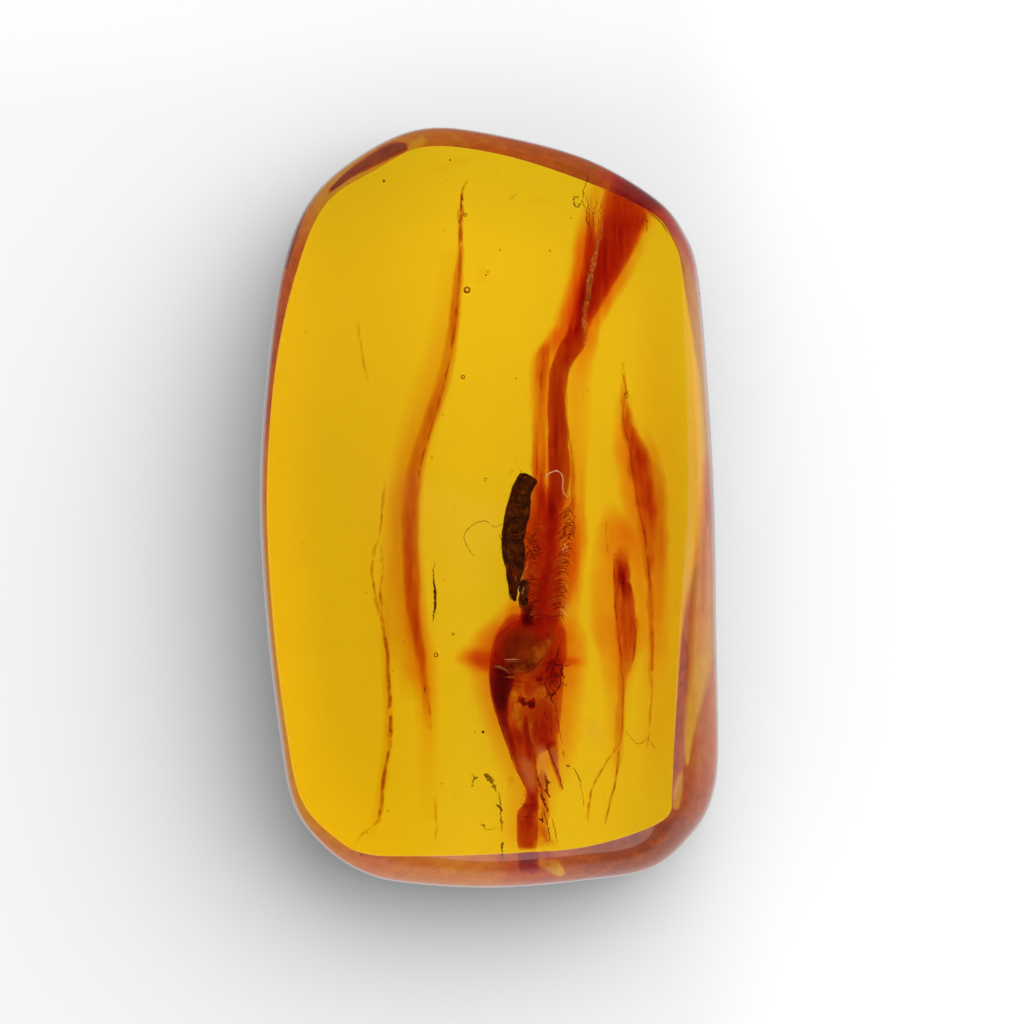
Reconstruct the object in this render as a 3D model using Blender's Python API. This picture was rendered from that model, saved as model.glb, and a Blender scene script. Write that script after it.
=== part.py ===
"""A slab of natural amber, polished flat above and below, with rounded sides.

Run it with: blender --background --python part.py

Lengths are metres and +Z is up. The slab lies on its flat underside with its long side along Y. The origin is
the middle of the box that the slab fills, on the plane it rests on.
"""

import math

import bmesh
import bpy
import numpy as np

MM = 0.001

# Driving dimensions.
THICKNESS = 8.6 * MM  # from the underside to the highest point of the top face
GIRDLE_HEIGHT = 4.0 * MM  # where the slab is widest
CROWN = 0.12 * MM  # how far the top face rises from its edge to its middle
FOOT_WIDTH = 0.965  # the flat underside's width, as a share of the slab's
FOOT_LENGTH = 0.97  # and its length
FOOT_SHIFT = 0.12 * MM  # how far the flat underside lies towards the left

# The widest outline seen from above, anticlockwise from the middle of the right side: x and y in millimetres.
RIM_MM = (
    (11.9, -0.1),
    (11.6, 5.7),
    (11.0, 12.5),
    (10.3, 14.4),
    (9.0, 16.1),
    (5.3, 18.3),
    (0.5, 19.6),
    (-3.4, 20.0),
    (-6.6, 18.7),
    (-9.4, 16.3),
    (-10.9, 12.7),
    (-11.7, 7.3),
    (-12.1, 0.9),
    (-11.8, -5.4),
    (-11.1, -11.5),
    (-10.3, -15.7),
    (-8.5, -18.0),
    (-6.6, -19.2),
    (-4.7, -19.7),
    (0.0, -20.0),
    (5.1, -19.6),
    (8.8, -18.9),
    (11.1, -16.7),
    (11.8, -15.2),
    (12.1, -13.1),
    (12.0, -6.5),
)

# The edge of the polished top face beside each of those points. The top face is nearest the rim on the left,
# and the lower right corner has the widest bevel.
TOP_EDGE_MM = (
    (10.2, -0.1),
    (10.2, 5.6),
    (10.0, 12.0),
    (9.5, 14.0),
    (8.4, 15.4),
    (5.0, 17.0),
    (0.6, 18.4),
    (-3.3, 18.8),
    (-5.9, 17.6),
    (-8.5, 15.8),
    (-10.0, 12.3),
    (-11.1, 7.2),
    (-11.5, 0.9),
    (-11.2, -5.3),
    (-10.5, -11.3),
    (-9.7, -15.2),
    (-7.8, -17.3),
    (-6.3, -18.0),
    (-4.1, -18.1),
    (0.1, -18.0),
    (4.5, -17.7),
    (7.6, -16.9),
    (9.3, -16.0),
    (9.5, -14.7),
    (9.6, -12.1),
    (9.9, -6.1),
)

# How the bevel leaves the top face there: 1 is a crease and 2 a smooth roll.
EDGE_ROLL = (
    2.0, 2.0, 1.5, 1.3, 1.2, 1.1, 1.1, 1.1, 1.1, 1.2, 1.4, 1.6, 1.7,
    1.7, 1.6, 1.4, 1.2, 1.0, 1.0, 1.0, 1.0, 1.0, 1.0, 1.0, 1.1, 1.3,
)
# How boxy the side is between that edge and the girdle: 2 makes it an ellipse, and more makes it steeper.
SIDE_FULLNESS = (
    2.3, 2.3, 2.8, 3.5, 4.5, 5.0, 5.0, 4.5, 4.0, 3.5, 3.0, 2.6, 2.4,
    2.4, 2.6, 3.0, 3.4, 3.6, 3.6, 3.6, 3.6, 3.4, 3.0, 2.8, 2.6, 2.4,
)
OUTLINE_SMOOTHING = 50  # passes over 1024 points, which round the rim over about a millimetre

# How finely the surface is divided.
AROUND = 112
TOP_RINGS = 4
BEVEL_RINGS = 8
FOOT_RINGS = 7

AMBER_COLOUR = (0.80, 0.42, 0.03, 1.0)
AMBER_IOR = 1.54


def closed_curve(points, count):
    """A smooth closed curve through the points, as that many points, with Catmull-Rom spans between them."""
    points = np.asarray(points, float)
    at = np.linspace(0, len(points), count, endpoint=False)
    span = at.astype(int)
    t = (at - span)[:, None]
    before, start, end, after = (points[(span + step) % len(points)] for step in (-1, 0, 1, 2))
    return 0.5 * (
        2 * start
        + (end - before) * t
        + (2 * before - 5 * start + 4 * end - after) * t**2
        + (3 * start - before - 3 * end + after) * t**3
    )


def evenly(points, count):
    """As many points, evenly spaced along the rim, which is the first two columns of the points."""
    steps = np.linalg.norm(np.roll(points[:, :2], -1, 0) - points[:, :2], axis=1)
    travelled = np.concatenate([[0], np.cumsum(steps)])
    wanted = np.linspace(0, travelled[-1], count, endpoint=False)
    closed = np.vstack([points, points[:1]])
    return np.column_stack([np.interp(wanted, travelled, column) for column in closed.T])


def outlines(count):
    """The rim, the top face's edge, the roll and the fullness of the bevel, at points evenly spaced along the rim."""
    table = np.column_stack([np.array(RIM_MM) * MM, np.array(TOP_EDGE_MM) * MM, EDGE_ROLL, SIDE_FULLNESS])
    even = evenly(closed_curve(table, 4096), 1024)
    rim = even[:, :2]
    for _ in range(OUTLINE_SMOOTHING):
        rim = (np.roll(rim, 1, 0) + 2 * rim + np.roll(rim, -1, 0)) / 4
    centre = (rim.min(0) + rim.max(0)) / 2
    even = evenly(np.column_stack([rim, even[:, 2:]]), count)
    return even[:, :2] - centre, even[:, 2:4] - centre, even[:, 4], even[:, 5]


def top_ring(edge, share):
    """A ring of the top face, at that share of the way from its middle to its edge."""
    height = THICKNESS - CROWN * share**2
    return np.column_stack([edge * share, np.full(len(edge), height)])


def bevel_ring(rim, edge, roll, fullness, share):
    """A ring of the bevel, from the top face's edge, at share 0, down to the girdle, at share 1."""
    turn = share * math.pi / 2
    outwards = (math.sin(turn) ** (2 / roll))[:, None]
    upwards = math.cos(turn) ** (2 / fullness) if share < 1 else np.zeros(len(rim))
    height = GIRDLE_HEIGHT + (THICKNESS - CROWN - GIRDLE_HEIGHT) * upwards
    return np.column_stack([edge + (rim - edge) * outwards, height])


def foot_ring(rim, share):
    """A ring of the lower side, from the girdle, at share 0, down to the flat underside's edge, at share 1."""
    turn = share * math.pi / 2
    foot = rim * (FOOT_WIDTH, FOOT_LENGTH) - (FOOT_SHIFT, 0)
    height = GIRDLE_HEIGHT * (1 - math.sin(turn)) if share < 1 else 0.0
    return np.column_stack([rim + (foot - rim) * (1 - math.cos(turn)), np.full(len(rim), height)])


def slab_rings():
    """Every ring of the surface, from the top face's middle down to the underside's edge."""
    rim, edge, roll, fullness = outlines(AROUND)
    rings = [top_ring(edge, n / TOP_RINGS) for n in range(1, TOP_RINGS + 1)]
    rings += [bevel_ring(rim, edge, roll, fullness, n / BEVEL_RINGS) for n in range(1, BEVEL_RINGS + 1)]
    rings += [foot_ring(rim, n / FOOT_RINGS) for n in range(1, FOOT_RINGS + 1)]
    return rings


def slab_mesh():
    bm = bmesh.new()
    loops = [[bm.verts.new(point) for point in ring] for ring in slab_rings()]
    middle = bm.verts.new((0, 0, THICKNESS))
    for here in range(AROUND):
        ahead = (here + 1) % AROUND
        bm.faces.new((middle, loops[0][here], loops[0][ahead]))
        for upper, lower in zip(loops, loops[1:]):
            bm.faces.new((upper[here], lower[here], lower[ahead], upper[ahead]))
    bm.faces.new(reversed(loops[-1]))
    mesh = bpy.data.meshes.new("amber")
    bm.to_mesh(mesh)
    bm.free()
    mesh.shade_smooth()
    mesh.set_sharp_from_angle(angle=math.radians(50))
    return mesh


def amber_material():
    material = bpy.data.materials.new("amber")
    material.use_nodes = True
    surface = material.node_tree.nodes["Principled BSDF"]
    surface.inputs["Base Color"].default_value = AMBER_COLOUR
    surface.inputs["Metallic"].default_value = 0.0
    surface.inputs["Roughness"].default_value = 0.05
    surface.inputs["IOR"].default_value = AMBER_IOR
    surface.inputs["Transmission Weight"].default_value = 1.0
    return material


def main():
    for old in list(bpy.data.objects):
        bpy.data.objects.remove(old, do_unlink=True)
    amber = bpy.data.objects.new("amber", slab_mesh())
    amber.data.materials.append(amber_material())
    bpy.context.scene.collection.objects.link(amber)


main()
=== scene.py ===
"""Insect in amber: a polished slab of clear amber with everything that is sealed in it."""

import math

import bmesh
import bpy
import numpy as np
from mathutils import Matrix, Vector, noise


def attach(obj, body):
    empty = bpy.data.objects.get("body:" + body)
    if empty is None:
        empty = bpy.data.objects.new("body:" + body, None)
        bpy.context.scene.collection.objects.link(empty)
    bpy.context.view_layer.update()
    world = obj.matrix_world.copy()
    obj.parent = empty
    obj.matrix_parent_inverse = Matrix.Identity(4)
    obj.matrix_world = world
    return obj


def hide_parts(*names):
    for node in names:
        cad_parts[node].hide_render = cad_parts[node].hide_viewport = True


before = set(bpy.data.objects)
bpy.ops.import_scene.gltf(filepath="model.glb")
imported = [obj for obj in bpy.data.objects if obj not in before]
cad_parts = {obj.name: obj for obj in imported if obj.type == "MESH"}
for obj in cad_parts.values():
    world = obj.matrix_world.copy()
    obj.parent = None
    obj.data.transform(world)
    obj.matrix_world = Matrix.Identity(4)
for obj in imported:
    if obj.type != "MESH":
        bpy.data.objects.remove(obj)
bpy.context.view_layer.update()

MM = 0.001

# --- The camera, straight above the slab -------------------------------------------------------------------
# Places inside the stone are given as the camera sees them: pixels of its 1024 px square frame, and
# millimetres below the top face. Widths are in pixels too, and thicknesses in millimetres.
FRAME_PX = 1024
CAMERA_XY = (1.19 * MM, -0.21 * MM)
GIRDLE_Z = 4.0 * MM
TOP_Z = 8.6 * MM
FRAME_WIDTH = 54.18 * MM  # what the frame takes in at the height of the girdle
PX = FRAME_WIDTH / FRAME_PX
LENS_MM, SENSOR_MM = 180.0, 36.0
CAMERA_Z = GIRDLE_Z + FRAME_WIDTH * LENS_MM / SENSOR_MM
AMBER_IOR = 1.54


def seen(rows):
    """Points inside the amber from rows of pixel x, pixel y and depth: the camera looks through the flat top."""
    rows = np.atleast_2d(np.asarray(rows, float))
    depth = rows[:, 2] * MM
    scale = PX * (CAMERA_Z - TOP_Z) / (CAMERA_Z - GIRDLE_Z)
    scale = scale * (1 + depth / (AMBER_IOR * (CAMERA_Z - TOP_Z)))
    x = CAMERA_XY[0] + (rows[:, 0] - FRAME_PX / 2) * scale
    y = CAMERA_XY[1] + (FRAME_PX / 2 - rows[:, 1]) * scale
    return np.column_stack([x, y, TOP_Z - depth])


def as_pixels(points):
    """Where the camera sees points of the stone's own surface."""
    points = np.asarray(points, float)
    scale = (CAMERA_Z - GIRDLE_Z) / (CAMERA_Z - points[:, 2]) / PX
    x = FRAME_PX / 2 + (points[:, 0] - CAMERA_XY[0]) * scale
    y = FRAME_PX / 2 - (points[:, 1] - CAMERA_XY[1]) * scale
    return np.column_stack([x, y])


def make_camera():
    data = bpy.data.cameras.new("camera")
    data.lens, data.sensor_width, data.sensor_fit = LENS_MM, SENSOR_MM, "HORIZONTAL"
    data.clip_start, data.clip_end = 0.01, 10
    camera = bpy.data.objects.new("camera", data)
    camera.location = (*CAMERA_XY, CAMERA_Z)
    bpy.context.scene.collection.objects.link(camera)
    bpy.context.scene.camera = camera


# --- Shapes ------------------------------------------------------------------------------------------------
def smoothstep(x, low, high):
    t = np.clip((x - low) / (high - low), 0, 1)
    return t * t * (3 - 2 * t)


def spline(rows, count):
    """A smooth open curve through the rows, as that many rows."""
    rows = np.asarray(rows, float)
    rows = np.vstack([2 * rows[0] - rows[1], rows, 2 * rows[-1] - rows[-2]])
    at = np.linspace(0, len(rows) - 3, count)
    span = np.minimum(at.astype(int), len(rows) - 4)
    t = (at - span)[:, None]
    before, start, end, after = (rows[span + step] for step in range(4))
    return 0.5 * (
        2 * start
        + (end - before) * t
        + (2 * before - 5 * start + 4 * end - after) * t**2
        + (3 * start - before - 3 * end + after) * t**3
    )


def unit(vectors):
    return vectors / np.maximum(np.linalg.norm(vectors, axis=-1, keepdims=True), 1e-12)


class Shape:
    """Closed pieces gathered into one mesh. Each point has a tone and a veil that the material may read: tone
    shifts its colour and veil, from 0 to 1, thins it out."""

    def __init__(self):
        self.points, self.faces, self.tones, self.veils, self.count, self.turned = [], [], [], [], 0, False

    def add(self, points, faces, tones=0.0, veils=0.0):
        self.faces += [tuple(i + self.count for i in face) for face in faces]
        self.points.append(np.asarray(points, float))
        self.tones.append(np.broadcast_to(np.asarray(tones, float), (len(points),)))
        self.veils.append(np.broadcast_to(np.asarray(veils, float), (len(points),)))
        self.count += len(points)

    def rings(self, rings, tones=0.0, veils=0.0):
        """A closed skin through rings of equally many points, with a fan over each end."""
        sides, count = len(rings[0]), len(rings)
        points = np.vstack([rings[0].mean(0), *rings, rings[-1].mean(0)])
        faces = []
        for i in range(sides):
            j = (i + 1) % sides
            faces.append((0, 1 + j, 1 + i))
            for k in range(count - 1):
                a, b = 1 + k * sides, 1 + (k + 1) * sides
                faces.append((a + i, a + j, b + j, b + i))
            a = 1 + (count - 1) * sides
            faces.append((len(points) - 1, a + i, a + j))
        self.add(points, faces, *(np.concatenate([v[:1], v, v[-1:]]) if np.ndim(v) else v for v in (tones, veils)))

    def tube(self, path, radius, sides=8, flat=1.0, tones=0.0, rough=0.0, grain=4.0, soft=False):
        """A closed tube along points in metres. flat squashes it from top to bottom, rough dents it by that share
        of its radius, in lumps of grain to a millimetre, and soft thins it out towards its sides and ends."""
        path = np.asarray(path, float)
        radius = np.broadcast_to(np.asarray(radius, float), (len(path),))
        ahead = unit(np.gradient(path, axis=0))
        side = unit(np.cross(ahead, (0, 0, 1)) + (1e-6, 0, 0))
        up = np.cross(side, ahead)
        turn = np.linspace(0, 2 * math.pi, sides, endpoint=False)
        rings = []
        for centre, r, s, u in zip(path, radius, side, up):
            spokes = np.cos(turn)[:, None] * s + flat * np.sin(turn)[:, None] * u
            if rough:
                lumps = [noise.fractal(Vector(p) * grain / MM, 0.8, 2.0, 4) for p in centre + r * spokes]
                spokes = spokes * np.maximum(0.2, 1 + rough * np.array(lumps))[:, None]
            rings.append(centre + r * spokes)
        veils = 0.0
        if soft:
            ends = np.sin(np.linspace(0, math.pi, len(path))) ** 0.5
            veils = 1 - np.outer(ends, np.clip(np.sin(turn), 0, 1) ** 1.5).ravel()
        self.rings(rings, tones, veils)

    def strand(self, rows, count=24, sides=7, flat=1.0, jitter=0.0, seed=0, **more):
        """A tube from rows of pixel x, pixel y, depth and radius in pixels."""
        rows = spline(rows, count)
        if jitter:
            rng = np.random.default_rng(seed)
            rows[1:-1, :2] += rng.normal(0, jitter, (count - 2, 2))
            rows[1:-1, 2] += rng.normal(0, jitter * 0.04, count - 2)
            rows[1:-1, 3] *= rng.uniform(0.35, 1.6, count - 2)
        self.tube(seen(rows), np.maximum(rows[:, 3], 0.12) * PX, sides, flat, **more)

    def cloud(self, step, depth, bands, grain=(2.0, 2.0), seed=0.0, sway=1.0, soft=False):
        """A body as thick at each place, in millimetres, as its bands add up to. A band is its power, its
        roughness, and rows of pixel y, left and right pixel x and thickness: it is thickest midway between its
        sides, and the lower its power, the steeper its sides. Its roughness is the share by which it comes and
        goes, in lumps of that many to a millimetre across and along the picture."""
        rows = [np.array(row) for _, _, band in bands for row in band]
        table = np.array(rows)
        xs = np.arange(table[:, 1].min() - 3 * step, table[:, 2].max() + 3 * step, step)
        ys = np.arange(table[:, 0].min() - step, table[:, 0].max() + step, step)
        total = np.zeros((len(ys), len(xs)))
        lumps = np.array((*grain, 1.0)) * PX / MM
        for number, (power, rough, band) in enumerate(bands):
            fine = spline(band, 400)
            left, right, thick = (np.interp(ys, fine[:, 0], fine[:, k]) for k in (1, 2, 3))
            inside = (ys >= fine[0, 0]) & (ys <= fine[-1, 0])
            swing = [[sway * noise.fractal((seed + at, y / 22, number), 0.9, 2.0, 4) for y in ys] for at in (0.0, 9.0)]
            left, right = left + swing[0], np.maximum(right + swing[1], left + swing[0] + 0.5)
            u = (2 * xs[None, :] - (left + right)[:, None]) / (right - left)[:, None]
            layer = np.clip(1 - u**2, 0, 1) ** power * (thick * inside)[:, None]
            if rough:
                for j, k in np.argwhere(layer != 0):
                    place = Vector((xs[k] * lumps[0], ys[j] * lumps[1], seed + 3 * number))
                    layer[j, k] *= max(0.0, 1 + rough * noise.fractal(place, 0.75, 2.0, 5))
            total += layer
        # faces that nearly touch would confuse the renderer
        total = np.where(total > 0.008, total + 0.006, 0.0)
        total[0] = total[-1] = 0.0
        total[:, 0] = total[:, -1] = 0.0
        within = total > 0
        near = within.copy()
        near[1:] |= within[:-1]
        near[:-1] |= within[1:]
        near[:, 1:] |= near[:, :-1].copy()
        near[:, :-1] |= near[:, 1:].copy()
        upper = -np.ones(total.shape, int)
        upper[near] = np.arange(near.sum())
        lower = upper.copy()
        lower[within] = near.sum() + np.arange(within.sum())
        places = [(xs[k], ys[j], depth) for j, k in np.argwhere(near)]
        middle = seen(places)
        middle[:, 2] += [0.25 * MM * noise.fractal((p[0] / 40, p[1] / 60, seed), 0.9, 2.0, 3) for p in places]
        rise = total[near] * MM / 2
        points = np.vstack([middle + np.outer(rise, (0, 0, 1)), (middle - np.outer(rise, (0, 0, 1)))[within[near]]])
        faces = []
        for j, k in np.argwhere(within[:-1, :-1] | within[1:, :-1] | within[:-1, 1:] | within[1:, 1:]):
            corners = ((j, k), (j + 1, k), (j + 1, k + 1), (j, k + 1))
            faces.append(tuple(upper[c] for c in corners))
            faces.append(tuple(lower[c] for c in reversed(corners)))
        veils = 0.0
        if soft:
            veils = 1 - np.clip(total / total.max() * 1.4, 0, 1)
            veils = np.concatenate([veils[near], np.ones(within.sum())])
        self.turned = True
        self.add(points, faces, 0.0, veils)

    def blob(self, centre, radii, turn=0.0, rough=0.0, scale=1.0, seed=0.0, level=24, shade=(0, 0, 0), soft=False):
        """An egg of half widths radii in pixels, turned about the vertical and dented by noise. Where shade is
        given, the tone rises from -1 to 1 along that direction. soft thins it out towards its outline."""
        rings, tones, veils = [], [], []
        cos, sin = math.cos(turn), math.sin(turn)
        for k in range(1, level):
            polar = math.pi * k / level
            a = np.linspace(0, 2 * math.pi, 2 * level, endpoint=False)
            ball = np.column_stack(
                [np.full(len(a), math.cos(polar)), math.sin(polar) * np.cos(a), math.sin(polar) * np.sin(a)]
            )
            if rough:
                bumps = [noise.fractal(Vector(b) * scale + Vector((seed, 0, 0)), 0.8, 2.0, 4) for b in ball]
                ball = ball * (1 + rough * np.array(bumps))[:, None]
            tones.append(ball @ np.array(shade))
            rim = np.linalg.norm(ball[:, :2], axis=1)
            veils.append(np.where(ball[:, 2] < 0, 1.0, smoothstep(rim, 0.45, 0.97)) if soft else 0 * rim)
            ball = ball * radii * PX
            ball = np.column_stack(
                [ball[:, 0] * cos - ball[:, 1] * sin, ball[:, 0] * sin + ball[:, 1] * cos, ball[:, 2]]
            )
            rings.append(ball + centre)
        self.rings(rings, np.concatenate(tones), np.concatenate(veils))

    def crumbs(self, rng, count, middle, spread, depth, radii, rough=0.4):
        """Small lumps strewn about a pixel, in half widths of spread pixels."""
        for _ in range(count):
            x, y = np.array(middle) + rng.normal(0, 0.5, 2) * spread
            size = rng.uniform(*radii) * np.array((1.0, rng.uniform(0.5, 1.0), rng.uniform(0.4, 0.9)))
            place = seen((x, y, depth + rng.normal(0, 0.1)))[0]
            self.blob(place, size, rng.uniform(0, 3), rough, 2.0, x, level=6)

    def build(self, name, material):
        mesh = bpy.data.meshes.new(name)
        points = np.vstack(self.points)
        mesh.from_pydata(points.tolist(), [], self.faces)
        for key, values in (("tone", self.tones), ("veil", self.veils)):
            mesh.attributes.new(key, "FLOAT", "POINT").data.foreach_set("value", np.concatenate(values))
        if not self.turned:
            bm = bmesh.new()
            bm.from_mesh(mesh)
            bmesh.ops.recalc_face_normals(bm, faces=bm.faces)
            bm.to_mesh(mesh)
            bm.free()
        mesh.shade_smooth()
        mesh.materials.append(material)
        obj = bpy.data.objects.new(name, mesh)
        bpy.context.scene.collection.objects.link(obj)
        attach(obj, "root")
        return obj


# --- Materials ---------------------------------------------------------------------------------------------
class Tree:
    """The nodes of one material."""

    def __init__(self, name, world=False):
        self.material = (bpy.data.worlds if world else bpy.data.materials).new(name)
        self.material.use_nodes = True
        self.nodes = self.material.node_tree.nodes
        self.links = self.material.node_tree.links
        self.nodes.clear()
        self.output = self.nodes.new("ShaderNodeOutputWorld" if world else "ShaderNodeOutputMaterial")

    def node(self, kind, **inputs):
        node = self.nodes.new("ShaderNode" + kind)
        for key, value in inputs.items():
            socket = node.inputs[int(key[1:])] if key[0] == "_" else node.inputs[key.replace("_", " ")]
            if isinstance(value, bpy.types.NodeSocket):
                self.links.new(value, socket)
            else:
                socket.default_value = value
        return node

    def noise(self, scale, detail=4.0, roughness=0.6, stretch=None, distortion=0.0):
        coordinate = self.node("TexCoord").outputs["Object"]
        if stretch:
            coordinate = self.node("Mapping", Vector=coordinate, Scale=stretch).outputs[0]
        node = self.node(
            "TexNoise", Vector=coordinate, Scale=scale, Detail=detail, Roughness=roughness, Distortion=distortion
        )
        return node.outputs["Fac"]

    def ramp(self, value, *stops):
        node = self.node("ValToRGB", Fac=value)
        elements = node.color_ramp.elements
        while len(elements) < len(stops):
            elements.new(0.5)
        for element, (position, colour) in zip(elements, stops):
            element.position, element.color = position, (*colour, 1)
        return node.outputs[0]

    def math(self, operation, *values, clamp=False):
        node = self.node("Math")
        node.operation, node.use_clamp = operation, clamp
        for socket, value in zip(node.inputs, values):
            if isinstance(value, bpy.types.NodeSocket):
                self.links.new(value, socket)
            else:
                socket.default_value = value
        return node.outputs[0]

    def smooth(self, value, low, high, to_low=0.0, to_high=1.0):
        node = self.node("MapRange", Value=value)
        node.interpolation_type = "SMOOTHSTEP"
        for key, number in zip(("From Min", "From Max", "To Min", "To Max"), (low, high, to_low, to_high)):
            node.inputs[key].default_value = number
        return node.outputs[0]

    def attribute(self, name):
        node = self.node("Attribute")
        node.attribute_name = name
        return node.outputs["Fac"]

    def surface(self, shader):
        self.links.new(shader, self.output.inputs["Surface"])

    def volume(self, shader):
        self.links.new(shader, self.output.inputs["Volume"])


def absorber(name, colour, density):
    """Tinted resin with no surface of its own, as one flow of resin has inside another."""
    tree = Tree(name)
    tree.surface(tree.node("BsdfTransparent").outputs[0])
    tree.volume(tree.node("VolumeAbsorption", Color=(*colour, 1), Density=density).outputs[0])
    return tree.material


def tissue(name, stops, scale, roughness=0.35, glow=0.0, clear=0.0, bump=0.3, stretch=None, tone=0.0, tint=None, ior=1.2):
    """What the insect is made of: mottled colour, some light through it from behind, and a wet gloss."""
    tree = Tree(name)
    mottle = tree.noise(scale, 6.0, 0.65, stretch)
    value = tree.math("MULTIPLY_ADD", mottle, 1.6, -0.3)
    if tone:
        value = tree.math("ADD", value, tree.math("MULTIPLY", tree.attribute("tone"), tone), clamp=True)
    colour = tree.ramp(value, *stops)
    shader = tree.node("BsdfPrincipled", Base_Color=colour, Roughness=roughness, IOR=ior)
    fine = tree.noise(scale * 3, 5.0, 0.7, stretch)
    lumps = tree.node("Bump", Strength=bump, Distance=0.05 * MM, Height=fine)
    tree.links.new(lumps.outputs[0], shader.inputs["Normal"])
    shader = shader.outputs[0]
    if glow:
        through = tree.node("BsdfTranslucent", Color=colour)
        shader = tree.node("MixShader", _0=glow, _1=shader, _2=through.outputs[0]).outputs[0]
    if clear:
        past = tree.node("BsdfTransparent", Color=(*(tint or (1, 1, 1)), 1))
        thin = tree.math("MULTIPLY_ADD", tree.attribute("veil"), 1 - clear, clear)
        shader = tree.node("MixShader", _0=thin, _1=shader, _2=past.outputs[0]).outputs[0]
    tree.surface(shader)
    return tree.material


# --- The stone ---------------------------------------------------------------------------------------------
# At points round the widest outline, anticlockwise from the middle of the right side: the outline, the top
# face's edge, how the bevel leaves the top face (1 is a crease and 2 a smooth roll), how boxy the side is,
# where down the bevel the darkened skin starts, and how dark it is. That darkness is partly the skin's own
# colour and partly painted shade, for the dark seen through the steep bevels.
OUTLINE = (
    (11.9, -0.1, 10.2, -0.1, 2.0, 2.3, 0.25, 0.40),
    (11.6, 5.7, 10.2, 5.6, 2.0, 2.3, 0.28, 0.36),
    (11.0, 12.5, 10.0, 12.0, 1.5, 2.8, 0.06, 0.46),
    (10.3, 14.4, 9.5, 14.0, 1.3, 3.5, 0.04, 0.47),
    (9.0, 16.1, 8.4, 15.4, 1.2, 4.5, 0.02, 0.54),
    (5.3, 18.3, 5.0, 17.0, 1.1, 5.0, 0.01, 0.66),
    (0.5, 19.6, 0.6, 18.4, 1.1, 5.0, 0.01, 0.62),
    (-3.4, 20.0, -3.3, 18.8, 1.1, 4.5, 0.01, 0.52),
    (-6.6, 18.7, -5.9, 17.6, 1.1, 4.0, 0.01, 0.34),
    (-9.4, 16.3, -8.5, 15.8, 1.2, 3.5, 0.02, 0.40),
    (-10.9, 12.7, -10.0, 12.3, 1.4, 3.0, 0.02, 0.66),
    (-11.7, 7.3, -11.1, 7.2, 1.6, 2.6, 0.02, 0.68),
    (-12.1, 0.9, -11.5, 0.9, 1.7, 2.4, 0.05, 0.42),
    (-11.8, -5.4, -11.2, -5.3, 1.7, 2.4, 0.08, 0.32),
    (-11.1, -11.5, -10.5, -11.3, 1.6, 2.6, 0.08, 0.30),
    (-10.3, -15.7, -9.7, -15.2, 1.4, 3.0, 0.05, 0.36),
    (-8.5, -18.0, -7.8, -17.3, 1.2, 3.4, 0.02, 0.46),
    (-6.6, -19.2, -6.3, -18.0, 1.0, 3.6, 0.01, 0.54),
    (-4.7, -19.7, -4.1, -18.1, 1.0, 3.6, 0.01, 0.54),
    (0.0, -20.0, 0.1, -18.0, 1.0, 3.6, 0.01, 0.54),
    (5.1, -19.6, 4.5, -17.7, 1.0, 3.6, 0.01, 0.74),
    (8.8, -18.9, 7.6, -16.9, 1.0, 3.4, 0.01, 0.82),
    (11.1, -16.7, 9.3, -16.0, 1.0, 3.0, 0.01, 0.78),
    (11.8, -15.2, 9.5, -14.7, 1.0, 2.8, 0.02, 0.70),
    (12.1, -13.1, 9.6, -12.1, 1.1, 2.6, 0.03, 0.62),
    (12.0, -6.5, 9.9, -6.1, 1.3, 2.4, 0.08, 0.46),
)

# Stains in the skin, which also shape its painted shade: how dark each is made, from 0 to 1, then its
# places and half widths in pixels.
STAINS_AND_SHADE = (
    (0.98, (331, 190, 2.0), (350, 174, 4.5), (371, 161, 6.5), (392, 150, 7.5), (404, 147, 4.5)),
    (0.92, (307, 203, 2.5), (298, 222, 4.0), (291, 244, 4.0), (286, 266, 2.5)),
    (0.36, (408, 152, 2.0), (414, 146, 5.0), (422, 141, 4.0)),
    (0.50, (652, 206, 2.5), (668, 224, 3.5), (677, 246, 3.5), (682, 275, 3.5), (685, 300, 2.0)),
    (0.54, (686, 560, 2.5), (685, 590, 5.0), (681, 625, 5.5), (679, 650, 5.0)),
    (0.70, (681, 632, 3.0), (682, 655, 7.0), (682, 680, 7.0), (679, 705, 5.5), (676, 750, 4.5), (671, 790, 3.0)),
    (0.20, (706, 530, 5.0), (704, 580, 9.0), (702, 640, 12.0), (700, 670, 11.0), (694, 705, 8.0), (689, 735, 5.0), (687, 764, 2.0)),
    (0.30, (701, 470, 1.2), (704, 520, 2.5), (704, 560, 2.5), (703, 610, 1.5)),
    (0.34, (681, 775, 2.5), (678, 790, 5.0), (676, 806, 4.0)),
    (0.85, (596, 852, 4.0), (622, 845, 7.0), (650, 836, 8.0), (672, 826, 7.0), (684, 820, 3.0)),
    (0.74, (568, 856, 4.0), (573, 868, 5.0), (574, 878, 3.0)),
    (0.64, (500, 858, 4.0), (510, 866, 8.0), (524, 868, 6.0)),
    (0.26, (540, 862, 4.0), (552, 866, 7.0), (560, 872, 5.0)),
)
FOOT_WIDTH, FOOT_LENGTH, FOOT_SHIFT = 0.965, 0.97, 0.12 * MM
CROWN = 0.12 * MM


def evenly(points, count):
    """As many points, evenly spaced along the rim, which is the first two columns of the points."""
    steps = np.linalg.norm(np.roll(points[:, :2], -1, 0) - points[:, :2], axis=1)
    travelled = np.concatenate([[0], np.cumsum(steps)])
    wanted = np.linspace(0, travelled[-1], count, endpoint=False)
    closed = np.vstack([points, points[:1]])
    return np.column_stack([np.interp(wanted, travelled, column) for column in closed.T])


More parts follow.
